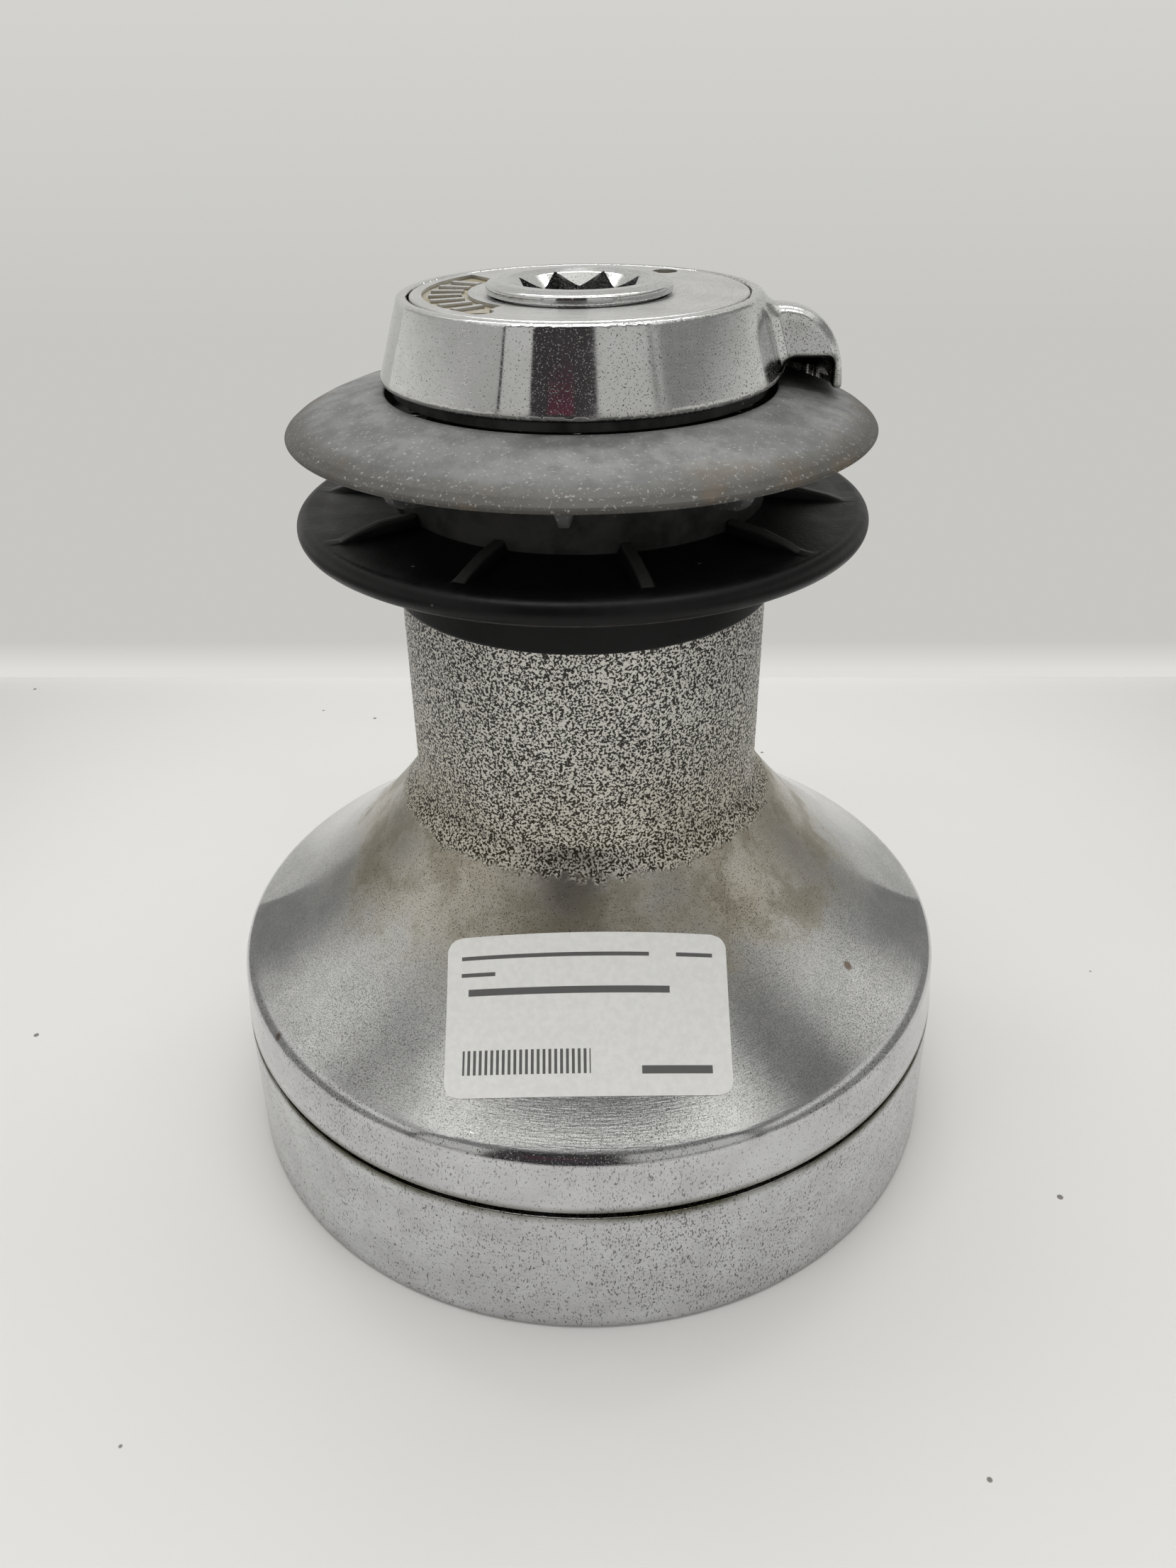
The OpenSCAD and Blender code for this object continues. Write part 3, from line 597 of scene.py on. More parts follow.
def black_moulding():
    """Glass-filled black plastic with dust and pale rubbed edges."""
    p = Paint("black_moulding")
    grain = p.spots(1100, 3, 0.6)
    patch = p.spots(70, 4, 0.65)
    dust = p.span(p.cells(230), 0.05, 0.09, 1.0, 0.0)
    dust = p.times(dust, p.span(p.spots(190, 2), 0.56, 0.66))
    edge = p.node("ShaderNodeNewGeometry").outputs["Pointiness"]
    rub = p.times(p.span(edge, 0.515, 0.56), p.span(patch, 0.35, 0.65, 0.1, 0.6))
    color = p.mix(p.vary(patch), (0.002, 0.002, 0.0024), (0.005, 0.005, 0.0055))
    rub = p.math("MAXIMUM", rub, p.times(p.span(p.attribute("crest"), 0.55, 1.0), 0.45))
    color = p.mix(rub, color, (0.075, 0.074, 0.072))
    color = p.mix(p.times(dust, 0.7), color, (0.23, 0.22, 0.20))
    hub = p.span(p.radius(), 0.0372, 0.0378, 0.35, 0.0)
    rough = p.plus(p.vary(patch, 0.32, 0.46), hub)
    return p.finish(color, 0.0, rough, p.bump(grain, 0.00005), specular_ior_level=0.19)


def weathered_moulding():
    """Sun-bleached grey plastic of the upper jaw, with brown weathering, pale specks, a darker rim
    that is weathering and painted shade, and painted shade underneath.
    """
    p = Paint("weathered_moulding")
    z = p.axes()[2]
    radius = p.radius()
    grain = p.spots(900, 3, 0.65)
    patch = p.spots(38, 5, 0.62)
    fleck = p.spots(1500, 2, 0.6)
    fibre = p.span(fleck, 0.60, 0.70)
    mottle = p.spots(210, 4, 0.62)
    color = p.mix(p.span(patch, 0.32, 0.68), (0.092, 0.095, 0.097), (0.205, 0.208, 0.205))
    color = p.mix(p.span(mottle, 0.36, 0.60, 0.42, 0.0), color, (0.035, 0.036, 0.037))
    # Outer rim darker and browner: brown weathering together with painted shade on the rim's
    # turned-down front.
    rim = p.span(radius, 0.0505, 0.0560)
    color = p.mix(p.times(rim, p.vary(patch, 0.6, 1.0)), color, (0.046, 0.041, 0.033))
    brown = p.times(p.span(patch, 0.54, 0.66), p.span(radius, 0.047, 0.055))
    color = p.mix(p.times(brown, 0.7), color, (0.11, 0.08, 0.05))
    # Painted shade on the underside, below the rim.
    underside_shade = p.span(z, 0.1618, 0.1634, 0.72, 0.0)
    color = p.mix(underside_shade, color, (0.035, 0.036, 0.037))
    color = p.mix(p.times(fibre, 0.55), color, (0.36, 0.36, 0.345))
    rough = p.vary(patch, 0.46, 0.62)
    normal = p.bump(patch, 0.0004)
    return p.finish(color, 0.0, rough, p.bump(grain, 0.00006, normal=normal))


def plain_metal(name, color, low, high):
    """Machined metal of the inner parts: fine turning marks and slight staining."""
    p = Paint(name)
    marks = p.noise(p.scaled(1, 1, 18), 300, 3, 0.6)
    stain = p.spots(140, 4, 0.6)
    dark = tuple(0.62 * c for c in color)
    tone = p.mix(p.span(stain, 0.35, 0.75), color, dark)
    return p.finish(tone, 1.0, p.vary(marks, low, high), p.bump(marks, 0.000015))


def plain_plastic(name, color):
    """Moulded plastic of the inner parts."""
    p = Paint(name)
    stain = p.spots(120, 4, 0.6)
    grain = p.spots(900, 2, 0.5)
    tone = p.mix(p.vary(stain), color, tuple(0.8 * c for c in color))
    return p.finish(tone, 0.0, p.vary(stain, 0.35, 0.5), p.bump(grain, 0.00002))


def paper():
    """White sticker with plain rules and bars where the print would be."""
    p = Paint("paper_label")
    u, v = p.attribute("across"), p.attribute("down")
    fibre = p.spots(700, 3, 0.6)
    color = p.mix(p.vary(fibre), (0.80, 0.80, 0.785), (0.74, 0.74, 0.725))

    def patch(x0, x1, y0, y1):
        soft = 0.05
        inside = p.times(p.span(u, x0 - soft, x0 + soft),
                        p.span(u, x1 - soft, x1 + soft, 1.0, 0.0))
        rows = p.times(p.span(v, y0 - soft, y0 + soft), p.span(v, y1 - soft, y1 + soft, 1.0, 0.0))
        return p.times(inside, rows)

    ink = None
    for row in ((3.0, 41.0, 3.9, 4.7), (46.5, 54.0, 3.9, 4.7), (3.0, 10.0, 7.3, 8.1),
                (4.5, 45.0, 10.6, 12.0), (39.0, 53.0, 26.2, 27.8)):
        mark = patch(*row)
        ink = mark if ink is None else p.math("MAXIMUM", ink, mark)
    bars = p.times(patch(3.6, 29.0, 22.8, 27.6),
                  p.span(p.math("SINE", p.times(u, TURN / 1.15)), -0.1, 0.1))
    ink = p.math("MAXIMUM", ink, bars)
    color = p.mix(p.times(ink, 0.9), color, (0.02, 0.02, 0.022))
    return p.finish(color, 0.0, 0.55, p.bump(fibre, 0.000015))


MATERIALS = {
    "polished_chrome": polished_chrome(),
    "worn_chrome": satin_chrome("base_chrome", 0.033),
    "drum_chrome": drum_chrome(),
    "brushed_cap": brushed_cap(),
    "black_moulding": black_moulding(),
    "weathered_moulding": weathered_moulding(),
    "paper_label": paper(),
    "bronze": plain_metal("bronze", (0.55, 0.38, 0.19), 0.25, 0.4),
    "gear_bronze": plain_metal("gear_bronze", (0.50, 0.36, 0.20), 0.28, 0.45),
    "gear_steel": plain_metal("gear_steel", (0.42, 0.42, 0.43), 0.25, 0.42),
    "stainless": plain_metal("stainless", (0.58, 0.58, 0.57), 0.18, 0.32),
    "spring_steel": plain_metal("spring_steel", (0.48, 0.48, 0.47), 0.2, 0.35),
    "white_acetal": plain_plastic("white_acetal", (0.72, 0.71, 0.67)),
    "black_acetal": plain_plastic("black_acetal", (0.02, 0.02, 0.021)),
}


def paint(obj, slot):
    obj.data.materials.clear()
    obj.data.materials.append(MATERIALS[slot])


def piece(obj, body, node, slot, look=None):
    """Put a finished piece in the place of one CAD node."""
    obj.name = node + "_detailed"
    obj.data.name = obj.name
    paint(obj, look or slot)
    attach(obj, body)
    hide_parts(node)
    return obj


# ---- Base


# Places in the base, in millimetres: gear shafts, stem screws and mounting bolts
OUTER_SHAFTS = [(44, 0), (-42, 0)]
IDLER_SHAFT = (-26.4167, 24.4573)
POST_CIRCLE, POST_ANGLES = 54, (60, 108, 240, 300)
BOLT_CIRCLE, BOLT_HOLE, BOLT_COUNT = 65, 4.2, 6


def base_housing():
    """Open-topped casting with a floor, bosses for the shafts and posts for the stem."""
    wall = rounded([
        (0, 0), (84.6, 0, 1.2), (83.72, 33.0, 0.35), (73.2, 33.0, 0.4), (73.2, 36.4, 0.3),
        (70.4, 36.4, 0.3), (70.4, 29.0), (77.5, 23.0), (77.5, 6.0, 2.0), (0, 6.0)])
    body = lathe("base", supported(wall), 512)
    sunk = 5.9
    bosses = [rod(0, 0, 17, sunk, 14)]
    bosses += [rod(*spot, 10, sunk, 15.5) for spot in OUTER_SHAFTS]
    bosses.append(rod(*IDLER_SHAFT, 8, sunk, 15.5))
    posts = [polar(POST_CIRCLE, a) for a in np.radians(POST_ANGLES)]
    bosses += [rod(*spot, 6, sunk, 28) for spot in posts]
    carve(body, bosses, "UNION")
    holes = [rod(0, 0, 12, 3, 20)]
    holes += [rod(*spot, 6, 2.5, 20) for spot in OUTER_SHAFTS]
    holes.append(rod(*IDLER_SHAFT, 5, 2.5, 20))
    holes += [rod(*spot, 3, 12, 30) for spot in posts]
    for i in range(BOLT_COUNT):
        a = radians(30) + TURN * i / BOLT_COUNT
        holes.append(rod(*polar(BOLT_CIRCLE, a), BOLT_HOLE, -1, 8))
    carve(body, holes)
    return piece(body, "root", "base_housing", "worn_chrome")


# ---- Drum

DRUM_R = 38.1
SKIRT_R = 83.67
FLARE_Z = 88.6
GRIP_COLUMNS = 720
GRIP_STEP = TURN * DRUM_R / GRIP_COLUMNS
GRIP_LOW = 80.0
# Radius that parts the drum's outside from its bore
BARREL_SIDE = 37.9
DRUM_TOP = 132.3
# Slope of the cone at its top and its foot, in degrees from the horizontal
FLARE_TOP, FLARE_FOOT = 56.3, 30.5
GRIP_EDGE = 83.2
GRIP_DEPTH = 0.09


def flare(steps=44):
    """Hollow arc from the barrel to the shoulder, and the shoulder's round."""
    top, low, corner = radians(FLARE_TOP), radians(FLARE_FOOT), 4.2
    band_r = SKIRT_R - 0.93
    end_r = band_r - corner * tan((pi / 2 - low) / 2) * cos(low)
    big = (end_r - DRUM_R) / (sin(top) - sin(low))
    cx, cz = DRUM_R + big * sin(top), FLARE_Z + big * cos(top)
    points = arc(cx, cz, big, -90 - FLARE_TOP, -90 - FLARE_FOOT, steps)
    last = points[-1]
    knee = (last[0] - corner * sin(low), last[1] - corner * cos(low))
    return points, arc(*knee, corner, 90 - FLARE_FOOT, 4, 10)[1:]


def drum():
    """Skirt, cone and barrel; the barrel's mesh is fine enough for its blasted grip."""
    hollow_arc, shoulder = flare()
    outside = [(74, 34.2), (SKIRT_R, 34.2, 0.35)] + shoulder[::-1] + hollow_arc[:0:-1]
    outside = outside[:-1] + [(DRUM_R, FLARE_Z, 6.0)]
    rows = np.arange(FLARE_Z + 4.2, DRUM_TOP - 0.05, GRIP_STEP)
    outside += [(DRUM_R, z) for z in rows]
    inside = [(DRUM_R, DRUM_TOP), (36, DRUM_TOP), (36, 138), (22.6, 138), (22.6, 126.2),
              (32.1, 126.2), (32.1, 100.5), (33.1, 99), (33.1, 80.5), (32.1, 79),
              (32.1, 55.2), (37, 55.2), (37, 75, 1.0), (38, 75, 0.6), (71, 49.5), (71, 47.7),
              (74, 47.7)]
    outline = rounded(outside + inside)
    fine = []
    for a, b in zip(outline, outline[1:] + outline[:1]):
        fine.append(a)
        length = dist(a, b)
        rough_part = min(a[1], b[1]) > GRIP_LOW - 2 and min(a[0], b[0]) > BARREL_SIDE
        step = GRIP_STEP if rough_part else 3.0
        count = int(length / step)
        fine += [(a[0] + (b[0] - a[0]) * k / count, a[1] + (b[1] - a[1]) * k / count)
                 for k in range(1, count)]
    body = lathe("drum", fine, GRIP_COLUMNS)
    screw_circle, angles = 30.2, np.radians([45, 135, 225, 315])
    holes = [rod(*polar(screw_circle, a), 2.5, 124, 140) for a in angles]
    carve(body, holes)
    points = read_points(body.data)
    r, z = np.hypot(points[:, 0], points[:, 1]), points[:, 2]
    column = np.rint(np.arctan2(points[:, 1], points[:, 0]) / TURN * GRIP_COLUMNS)
    column = column.astype(int) % GRIP_COLUMNS
    row_count = int((DRUM_TOP - GRIP_LOW) / GRIP_STEP) + 2
    row = np.clip(np.rint((z - GRIP_LOW) / GRIP_STEP), 0, row_count - 1).astype(int)
    rng = np.random.default_rng(7)
    grain = rng.standard_normal((row_count, GRIP_COLUMNS))
    broad = rng.standard_normal((row_count, GRIP_COLUMNS))

    def blur(field, times):
        for _ in range(times):
            for axis in (0, 1):
                field = (field + np.roll(field, 1, axis)) / 2
                field = (field + np.roll(field, -1, axis)) / 2
        return field / field.std()

    grain = grain[row, column]
    ragged = blur(broad, 2)[row, column]
    surface = (r > BARREL_SIDE) & (z > GRIP_LOW) & (z < DRUM_TOP - 0.2)
    edge = z + 0.5 * ragged
    cover = np.clip((edge - GRIP_EDGE) / 1.1, 0, 1) * surface
    pit = np.clip(0.5 - 0.62 * grain, 0, 1)
    scale = (r - GRIP_DEPTH * pit * cover) / np.maximum(r, 1e-6)
    points[:, 0] *= scale
    points[:, 1] *= scale
    write_points(body.data, points)
    write_attribute(body.data, "grip", cover)
    write_attribute(body.data, "hollow", pit)
    shade(body.data, 60)
    return piece(body, "drum", "drum", "worn_chrome", "drum_chrome")


# ---- Jaws

RIBS = 10
RIB_TOP = 0.75
RIB_FOOT = 1.9


def rib_columns(first):
    """Angles of mesh columns that run along both sides of ten ribs and radially between."""
    across = [0, 0.35, 0.65, 0.8, 0.95, 1.25, 1.55, 1.8, 1.95, 2.15, 2.6, 3.2]
    across = [-a for a in across[:0:-1]] + across
    between = np.linspace(0, 1, 22)[1:-1]

    def columns(r):
        reach = max(r, 20)
        ribs = [radians(first) + TURN * k / RIBS for k in range(RIBS)]
        angles = []
        for here in ribs:
            side = [here + asin(a / reach) for a in across]
            gap = here + TURN / RIBS - asin(across[-1] / reach) - side[-1]
            angles += side + [side[-1] + gap * t for t in between]
        return np.array(angles)

    return columns


def raise_ribs(points, first, top, on_face, sign):
    """Lift the face's points to a rib's top where they lie on one.

    It gives the new points, and how near each is to the middle of a rib, from 0 to 1.
    """
    angle = np.arctan2(points[:, 1], points[:, 0])
    slot_angle = TURN / RIBS
    off = (angle - radians(first) + slot_angle / 2) % slot_angle - slot_angle / 2
    r = np.hypot(points[:, 0], points[:, 1])
    along, across = r * np.cos(off), np.abs(r * np.sin(off))
    height = np.interp(along, [p[0] for p in top], [p[1] for p in top])
    share = np.clip((RIB_FOOT - across) / (RIB_FOOT - RIB_TOP), 0, 1)
    share = share * share * (3 - 2 * share)
    tall = sign * (height - points[:, 2])
    lift = np.where(on_face & (tall > 0), tall * share, 0)
    points[:, 2] += sign * lift
    return points, np.where(lift > 0.15, share, 0)


def lower_jaw():
    """Dished plate with a collar round the barrel's top and ribs on its upper face."""
    face = [(52 - 0.5 * k, 149.8 + 0.0258 * k) for k in range(1, 31)]
    rim = arc(54.7, 147.5, 2.6, -75, 80, 14)
    under = [(36, 132.3), (39.5, 132.3, 0.6), (39.5, 138.9, 1.0), (41.2, 140.4)]
    outline = rounded(under) + rim + [(52, 149.8)] + face + [
        (36.5, 150.6), (34, 150.6), (34, 138), (36, 138)]
    first = -90 + 12
    body = lathe("jaw", supported(outline), rib_columns(first), 40)
    points = read_points(body.data)
    r = np.hypot(points[:, 0], points[:, 1])
    on_face = (r > 36.55) & (r < 53.0) & (points[:, 2] > 149.6)
    top = [(36.5, 152.65), (44, 152.2), (49, 151.1), (51.5, 150.3), (53, 149.7)]
    points, crest = raise_ribs(points, first, top, on_face, 1)
    write_points(body.data, points)
    write_attribute(body.data, "crest", crest)
    shade(body.data, 50)
    return piece(body, "drum", "lower_jaw", "black_moulding")


def upper_jaw():
    """Domed plate with ribs underneath and three slots that slide on the hub's keys."""
    first = -90 - 3.5
    face = [(37 + 0.5 * k, 160.9 + 0.0867 * k) for k in range(0, 31)]
    outline = [(30.35, 160.9)] + face + rounded([
        (55.5, 164.4), (56.95, 164.7, 0.25), (57.3, 165.2, 0.4), (56.9, 165.8, 0.5),
        (55.5, 166.9, 1.5), (53, 168.2, 3), (50, 169.4, 3), (46, 170.5, 4),
        (39.5, 172.0, 1.0), (37.8, 172.15, 0.4), (37.4, 167, 0.3), (30.35, 167)])
    body = lathe("jaw", supported(outline), rib_columns(first), 40)
    points = read_points(body.data)
    r = np.hypot(points[:, 0], points[:, 1])
    on_face = (r > 36.55) & (r < 52.6) & (points[:, 2] < 163.7)
    top = [(36.5, 158.85), (44, 159.05), (49.5, 160.0), (51.4, 161.2), (52.6, 163.6)]
    write_points(body.data, raise_ribs(points, first, top, on_face, -1)[0])
    slots = [block(27, 32.5, -2.3, 2.3, 158, 170, turn) for turn in (0, 120, 240)]
    carve(body, slots)
    shade(body.data, 50)
    return piece(body, "upper_jaw", "upper_jaw", "weathered_moulding")


def jaw_springs():
    """Six coil springs over the upper jaw."""
    count, circle, coil_r, wire, low, high = 6, 34, 1.6, 0.3, 167.0, 172.0
    turns, steps, sides = 4, 20, 10
    rings = turns * steps
    verts, faces = [], []
    for k in range(count):
        spot = radians(30) + TURN * k / count
        start = len(verts)
        for i in range(rings + 1):
            a = spot + TURN * i / steps
            z = low + wire + (high - low - 2 * wire) * i / rings
            for j in range(sides):
                b = TURN * j / sides
                r = coil_r + wire * cos(b)
                verts.append((circle * cos(spot) + r * cos(a),
                              circle * sin(spot) + r * sin(a),
                              z + wire * sin(b)))
        for i in range(rings):
            for j in range(sides):
                a, b = start + i * sides + j, start + i * sides + (j + 1) % sides
                faces.append((a, a + sides, b + sides, b))
        faces.append(tuple(range(start, start + sides)))
        faces.append(tuple(range(len(verts) - 1, len(verts) - sides - 1, -1)))
    body = make_object("springs", verts, faces, 60)
    piece(body, "drum", "jaw_springs", "spring_steel")
    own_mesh(body)


# ---- Feeder ring


def feeder_ring():
    """Ring and arm cast in one, with soft edges."""
    ring = rounded([
        (20.5, 178), (32, 178), (34.6, 176.6), (36.2, 174.0, 0.25), (38.55, 174.0, 0.9),
        (34.05, 188.9, 0.7), (32.07, 188.9, 0.15), (32.07, 184), (20.5, 184)], 4)
    room = rounded([
        (-5, 140), (58.6, 140), (58.6, 167.6), (57, 168.1), (55.4, 168.9), (53, 170.2),
        (50, 171.4), (46, 172.5), (39.5, 173.9), (36.6, 173.9), (36.6, 179.5), (33, 181),
        (33, 195), (-5, 195)])
    finger = rounded([
        (58.7, 152.5), (60.4, 150.8, 0.8), (62.6, 153, 1.5), (63.4, 164), (63.4, 173.5, 2),
        (61.5, 176.6, 1.5), (56, 177.2), (56, 172.5), (58.7, 170.5)], 3)
    keys = np.array([-3.4, 40.0])

    def hood(x, y, z):
        t = np.clip((y - keys[0]) / (keys[1] - keys[0]), 0, 1)
        cx, cz = 36 + 6 * t, 170 - 6 * t
        a, b = 13.6 + 1.4 * t, 16.8 - 0.8 * t
        qx, qz = np.maximum(x - cx, 0), np.maximum(z - cz, 0)
        q = np.hypot(qx, qz)
        size = ((qx / a) ** 2.5 + (qz / b) ** 2.5) ** 0.4
        d = np.where(q > 1e-6, q * (1 - 1 / np.maximum(size, 1e-6)), -np.minimum(a, b))
        d = both(d, -7.3 - y, 2.6)
        d = both(d, y - 40, 3.0)
        d = both(d, np.hypot(x, y) - 63.4, 1.5)
        return np.maximum(np.maximum(d, 165 - z), 30 - x)

    def tunnel(x, y, z):
        t = np.clip((y + 12) / 49, 0, 1)
        left, right, top = 37.3 + 4.2 * t, 46.6 + 5.4 * t, 177.5 - 1.1 * t
        d = both(left - x, z - top, 3.2)
        d = both(d, x - right, 1.6)
        return both(d, y - 36, 1.6)

    def wedge(x, y, start, end):
        a0, a1 = radians(start), radians(end)
        return np.maximum(x * sin(a0) - y * cos(a0), y * cos(a1) - x * sin(a1))

    def casting(x, y, z):
        r = np.hypot(x, y)
        arm = both(hood(x, y, z), -outline_distance(room, r, z), 0.8)
        arm = both(arm, -tunnel(x, y, z), 1.0)
        hook = both(outline_distance(finger, r, z), wedge(x, y, 33, 60), 2.0)
        arm = join(arm, hook, 1.2)
        tongue = both(np.abs(z - 155.75) - 2.45, wedge(x, y, 52, 60), 1.2)
        tongue = both(tongue, np.maximum(37.2 - r, r - 59.4), 1.2)
        arm = join(arm, tongue, 0.8)
        fillet = 1.2 + 2.0 * np.clip((z - 174.5) / 3, 0, 1)
        whole = join(outline_distance(ring, r, z), arm, fillet)
        whole = np.maximum(whole, 20.5 - r)
        notch = np.maximum(np.abs(x) - 2, np.maximum(19.5 - y, y - 23))
        return np.maximum(whole, -notch)

    step = 0.5
    low, high = (-40.1, -40.1, 149.9), (65.2, 64.2, 190.4)
    points, faces, normals = surface_net(casting, low, high, step)
    mesh = bpy.data.meshes.new("casting")
    mesh.from_pydata((points * MM).tolist(), [], faces.tolist())
    mesh.shade_smooth()
    mesh.normals_split_custom_set_from_vertices(normals.tolist())
    # Painted shade: how deep each point lies inside the arch, for the material to darken.
    inner = np.clip(1 - (tunnel(*points.T) - 0.2) / 1.2, 0, 1) * (points[:, 2] > 168)
    write_attribute(mesh, "arch_shade", inner)
    return piece(add_object("casting", mesh), "root", "feeder_ring", "polished_chrome")


# ---- Cap and spindle


def top_cap():
    """Turned disc with two spanner holes and a shallow recess with plain ribs."""
    outline = rounded([
        (19.3, 184.3), (31.7, 184.3, 0.2), (31.7, 188.9, 0.45), (20, 188.9), (17.6, 188.4, 0.2),
        (16.7, 188.4, 0.2), (16.7, 187.6), (19.3, 187.6)])
    body = lathe("cap", supported(outline, 0.2, 3.0), 384)
    spanner_circle, angles = 27.4, np.radians([-129, 51])
    cuts = [rod(*polar(spanner_circle, a), 2.55, 185.5, 190, 48) for a in angles]
    mid, span = 185, 48
    recess = arc(0, 0, 29.4, mid - span, mid + span, 40)
    recess += arc(0, 0, 20.8, mid + span - 4, mid - span + 4, 40)
    floor = prism(recess, 188.2, 190)
    carve(floor, [block(21.9, 28.1, -0.75, 0.75, 187.9, 188.75, mid + 11 * k)
                  for k in range(-3, 4)])
    cuts.append(floor)
    carve(body, cuts)
    return piece(body, "root", "top_cap", "brushed_cap")


def main_spindle():
    """Shaft with a beaded rim and an eight-point socket for the handle."""
    top = 191.0
    outline = rounded([
        (0, 4), (9, 4), (9, 16.8), (12, 16.8), (12, 140), (15.6, 143), (15.6, 168),
        (14.8, 168), (14.8, 170), (15.6, 170), (15.6, 183.5), (16.1, 184.5),
        (16.1, top - 2.1), (17.5, top - 2.1, 0.25), (17.5, top - 0.6, 0.7),
        (15.6, top, 1.6), (0, top)])
    body = lathe("spindle", supported(outline), 256)
    half_across_flats, star = 8.8, 8
    tip = half_across_flats * sqrt(2)
    valley = half_across_flats / cos(pi / 8)
    points = []
    for k in range(star):
        a = TURN * (k + 1.5) / star
        b = a + pi / star
        points += [polar(tip, a), polar(valley, b)]
    socket = prism(points, top - 38, top + 1)
    mouth = lathe("mouth", rounded([
        (0, top - 4.4), (7.8, top - 4.4), (12.0, top - 0.72, 1.2), (13.6, top + 0.02),
        (13.6, top + 1), (0, top + 1)]), 192)
    key = block(10, 14, -2, 2, 18, 26)
    carve(body, [socket, mouth, key])
    shade(body.data, 24)
    return piece(body, "spindle", "main_spindle", "polished_chrome")


# ---- Label


def price_label():
    """Sticker that follows the cone's curve."""
    width, height, corner, tilt = 57.0, 32.0, 3.0, radians(41)
    centre = np.array([-0.4, -60.0, 64.6])
    right = np.array([1.0, 0, 0])
    up = np.array([0, cos(tilt), sin(tilt)])
    out = np.array([0, -sin(tilt), cos(tilt)])
    slope_cos = 0.75
    hollow_arc, shoulder = flare(80)
    profile = np.array(hollow_arc + shoulder)
    columns, rows = 96, 56
    v, u = np.meshgrid(np.linspace(0, 1, rows + 1), np.linspace(0, 1, columns + 1), indexing="ij")
    ease = 0.5 - 0.5 * np.cos(pi * v)
    down = height * (0.35 * ease + 0.65 * v)
    near = np.minimum(down, height - down)
    pinch = np.where(near < corner, corner - np.sqrt(np.maximum(
        corner ** 2 - (corner - near) ** 2, 0)), 0)
    half = width / 2 - pinch
    across = (2 * u - 1) * half
    flat = centre + across[..., None] * right + (height / 2 - down)[..., None] * up

    def sink(gap):
        """Slide the flat points along the label's normal to a gap above the cone."""
        low, high = np.full(across.shape, -25.0), np.full(across.shape, 10.0)
        for _ in range(40):
            mid = (low + high) / 2
            p = flat + mid[..., None] * out
            r = np.hypot(p[..., 0], p[..., 1])
            surface = np.interp(r, profile[:, 0], profile[:, 1]) + gap / slope_cos
            above = p[..., 2] > surface
            high = np.where(above, mid, high)
            low = np.where(above, low, mid)
        return flat + mid[..., None] * out

    count = (rows + 1) * (columns + 1)
    verts = np.concatenate([sink(0.24).reshape(-1, 3), sink(0.04).reshape(-1, 3)])
    grid = np.arange(count).reshape(rows + 1, columns + 1)
    quads = np.stack([grid[:-1, :-1], grid[1:, :-1], grid[1:, 1:], grid[:-1, 1:]], -1)
    quads = quads.reshape(-1, 4)
    faces = quads.tolist() + (quads[:, ::-1] + count).tolist()
    loop = list(grid[0, :-1]) + list(grid[:-1, -1]) + list(grid[-1, :0:-1]) + list(grid[:0:-1, 0])
    loop = [int(i) for i in loop]
    for a, b in zip(loop, loop[1:] + loop[:1]):
        faces.append([a, b, b + count, a + count])
    body = make_object("label", verts, faces, 50)
    write_attribute(body.data, "across", np.tile((across + width / 2).ravel(), 2))
    write_attribute(body.data, "down", np.tile(down.ravel(), 2))
    return piece(body, "drum", "price_label", "paper_label")


base_housing()
drum()
lower_jaw()
upper_jaw()
jaw_springs()
feeder_ring()
top_cap()
main_spindle()
price_label()

for obj in frame["nodes"].values():
    if not obj.hide_render:
        for holder in obj.material_slots:
            holder.material = MATERIALS[holder.material.name.split(".")[0]]


# ---- Stage

BOX_LEFT, BOX_RIGHT, BOX_BACK, BOX_FRONT, BOX_TOP = -0.265, 0.265, 0.222, -0.263, 0.52


def glow(name, stops):
    """Light-box wall: a glow that changes with height, seen from inside only.

    stops are pairs of a height in metres and a grey.
    """
    p = Paint(name)
    ramp = p.node("ShaderNodeValToRGB")
    light = p.node("ShaderNodeEmission")
    choose = p.node("ShaderNodeMixShader")
    p.put(ramp.inputs["Fac"], p.math("DIVIDE", p.axes()[2], BOX_TOP))
    elements = ramp.color_ramp.elements
    while len(elements) < len(stops):
        elements.new(0.5)
    for element, (height, grey) in zip(elements, stops):
        element.position = height / BOX_TOP
        element.color = (grey, 0.992 * grey, 0.955 * grey, 1)
    p.put(light.inputs["Color"], ramp.outputs["Color"])
    p.put(choose.inputs[0], p.node("ShaderNodeNewGeometry").outputs["Backfacing"])
    p.put(choose.inputs[1], light.outputs[0])
    p.put(choose.inputs[2], p.node("ShaderNodeBsdfTransparent").outputs[0])
    p.put(p.tree.nodes["Material Output"].inputs["Surface"], choose.outputs[0])
    return p.material


def panel(name, corners, material, camera=True):
    """Flat four-cornered piece of the stage, in metres; it faces the side from which
    its corners run anticlockwise."""
    mesh = bpy.data.meshes.new(name)
    mesh.from_pydata(corners, [], [(0, 1, 2, 3)])
    obj = add_object(name, mesh)
    mesh.materials.append(material)
    obj.visible_camera = camera
    obj.visible_shadow = False
    return obj


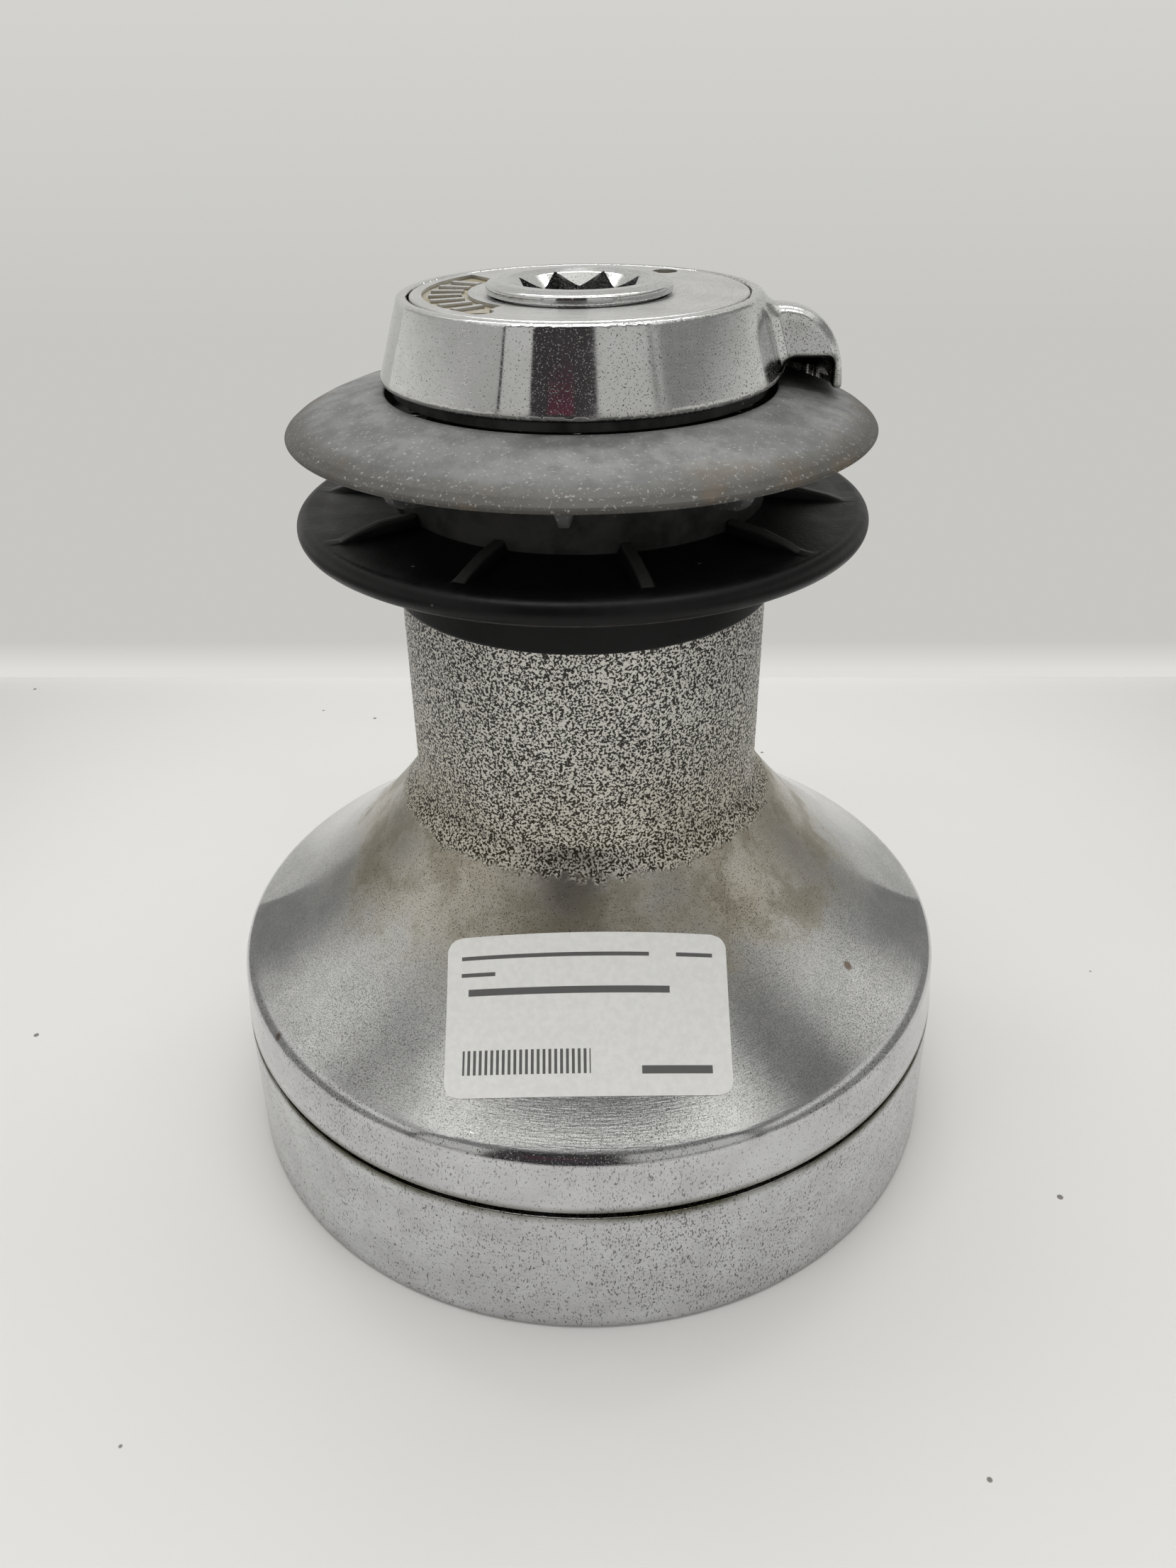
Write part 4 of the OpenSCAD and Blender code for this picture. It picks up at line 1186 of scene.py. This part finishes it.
def stage():
    """Floor and light box."""
    p = Paint("floor_paper")
    speck = p.cells(40)
    dirt = p.span(speck, 0.024, 0.032, 0.85, 0.0)
    soft = p.spots(5, 3, 0.5)
    color = p.mix(p.vary(soft), (0.80, 0.795, 0.785), (0.82, 0.815, 0.81))
    floor_material = p.finish(p.mix(dirt, color, (0.12, 0.10, 0.08)), 0.0, 0.7)
    far = 3.0
    panel("stage_floor", [(-far, -far, 0), (far, -far, 0), (far, far, 0), (-far, far, 0)],
          floor_material).visible_shadow = True
    back = glow("stage_back_glow", [(0, 0.74), (0.004, 0.73), (0.017, 0.57), (0.14, 0.57),
                                    (0.245, 0.65)])
    left = glow("stage_left_glow", [(0, 0.26), (0.11, 0.28), (0.155, 0.78), (0.20, 0.74),
                                    (0.245, 0.48), (0.32, 0.50), (0.44, 1.0)])
    right = glow("stage_right_glow", [(0, 0.26), (0.11, 0.28), (0.155, 0.78), (0.20, 0.70),
                                      (0.245, 0.27), (0.32, 0.27), (0.44, 1.0)])
    top = glow("stage_top_glow", [(0, 1.0), (BOX_TOP, 1.0)])
    room = glow("stage_room_glow", [(0, 0.60), (BOX_TOP, 0.60)])
    l, r, b, f, t = BOX_LEFT, BOX_RIGHT, BOX_BACK, BOX_FRONT, BOX_TOP
    w = 2.0
    skew = 0.062
    panel("stage_back", [(-w, b + skew, 0), (w, b - skew, 0), (w, b - skew, w),
                         (-w, b + skew, w)], back)
    rw, ry, low, high = 0.8, -0.75, 0.12, 0.72
    beyond = panel("stage_room", [(rw, ry, low), (-rw, ry, low), (-rw, ry, high), (rw, ry, high)],
                   room, False)
    beyond.visible_diffuse = False
    panel("stage_left", [(l, f, 0), (l, b, 0), (l, b, t), (l, f, t)], left, False)
    panel("stage_right", [(r, b, 0), (r, f, 0), (r, f, t), (r, b, t)], right, False)
    panel("stage_top", [(l, f, t), (l, b, t), (r, b, t), (r, f, t)], top, False)


def dark_card(name, color, corners):
    """Card that only the chrome sees."""
    obj = panel(name, corners, Paint(name).finish(color, 0.0, 0.9), False)
    obj.visible_diffuse = False
    return obj


def area_light(name, location, target, size, power):
    """Rectangular light that faces a target."""
    data = bpy.data.lights.new(name, "AREA")
    data.shape = "RECTANGLE"
    data.size, data.size_y = size
    data.energy = power
    obj = add_object(name, data)
    obj.location = location
    direction = np.array(target, float) - np.array(location, float)
    obj.rotation_mode = "QUATERNION"
    obj.rotation_quaternion = Vector(direction).to_track_quat("-Z", "Y")


def lights():
    """Two strips of lights at the top, and two cards in front of the box."""
    height, size = 0.50, (0.40, 0.05)
    area_light("strip_front", (0, -0.13, height), (0, -0.10, 0), size, 0.34)
    area_light("strip_back", (0, 0.14, height), (0, 0.10, 0), size, 0.64)
    for name, color, x0, x1, y, z0, z1 in (
            ("stage_dark_card", (0.05, 0.045, 0.05), -0.33, 0.10, -0.62, -0.2, 0.9),
            ("stage_red_card", (0.16, 0.02, 0.06), -0.20, -0.04, -0.61, 0.34, 0.39)):
        dark_card(name, color, [(x0, y, z1), (x1, y, z1), (x1, y, z0), (x0, y, z0)])


SEAM = 0.0055


def seams():
    """Thin dark front edges of the light box, which the chrome mirrors."""
    for side, x, y in (("left", -0.262, -0.263), ("right", 0.215, -0.25)):
        across = np.array([y, -x, 0]) / hypot(x, y) * SEAM
        low, high = np.array([x, y, 0.0]), np.array([x, y, 0.5])
        corners = [low - across, low + across, high + across, high - across]
        dark_card("stage_seam_" + side, (0.02, 0.02, 0.022), [tuple(c) for c in corners])


def world():
    """Even grey light, darker in the chrome."""
    made = bpy.data.worlds.new("studio")
    bpy.context.scene.world = made
    made.use_nodes = True
    tree = made.node_tree
    background = tree.nodes["Background"]
    path = tree.nodes.new("ShaderNodeLightPath")
    mix = tree.nodes.new("ShaderNodeMix")
    mix.data_type = "RGBA"
    mix.inputs[MIX_A].default_value = (0.62, 0.615, 0.60, 1)
    mix.inputs[MIX_B].default_value = (0.25, 0.25, 0.245, 1)
    tree.links.new(path.outputs["Is Glossy Ray"], mix.inputs[0])
    tree.links.new(mix.outputs[MIX_COLOR], background.inputs["Color"])
    background.inputs["Strength"].default_value = 1.0


def camera():
    """In front of the object, looking down at it."""
    data = bpy.data.cameras.new("camera")
    data.sensor_width = 36
    data.lens = 27.57
    data.clip_start, data.clip_end = 0.01, 20
    obj = add_object("camera", data)
    obj.location = (0.00031, -0.2395, 0.2259)
    down, lean = 31.16, -0.80
    pitch = Euler((radians(90 - down), 0, 0)).to_matrix()
    roll = Euler((0, 0, radians(lean))).to_matrix()
    obj.rotation_euler = (pitch @ roll).to_euler()
    bpy.context.scene.camera = obj


stage()
lights()
seams()
world()
camera()
bpy.context.scene.view_settings.view_transform = "Standard"
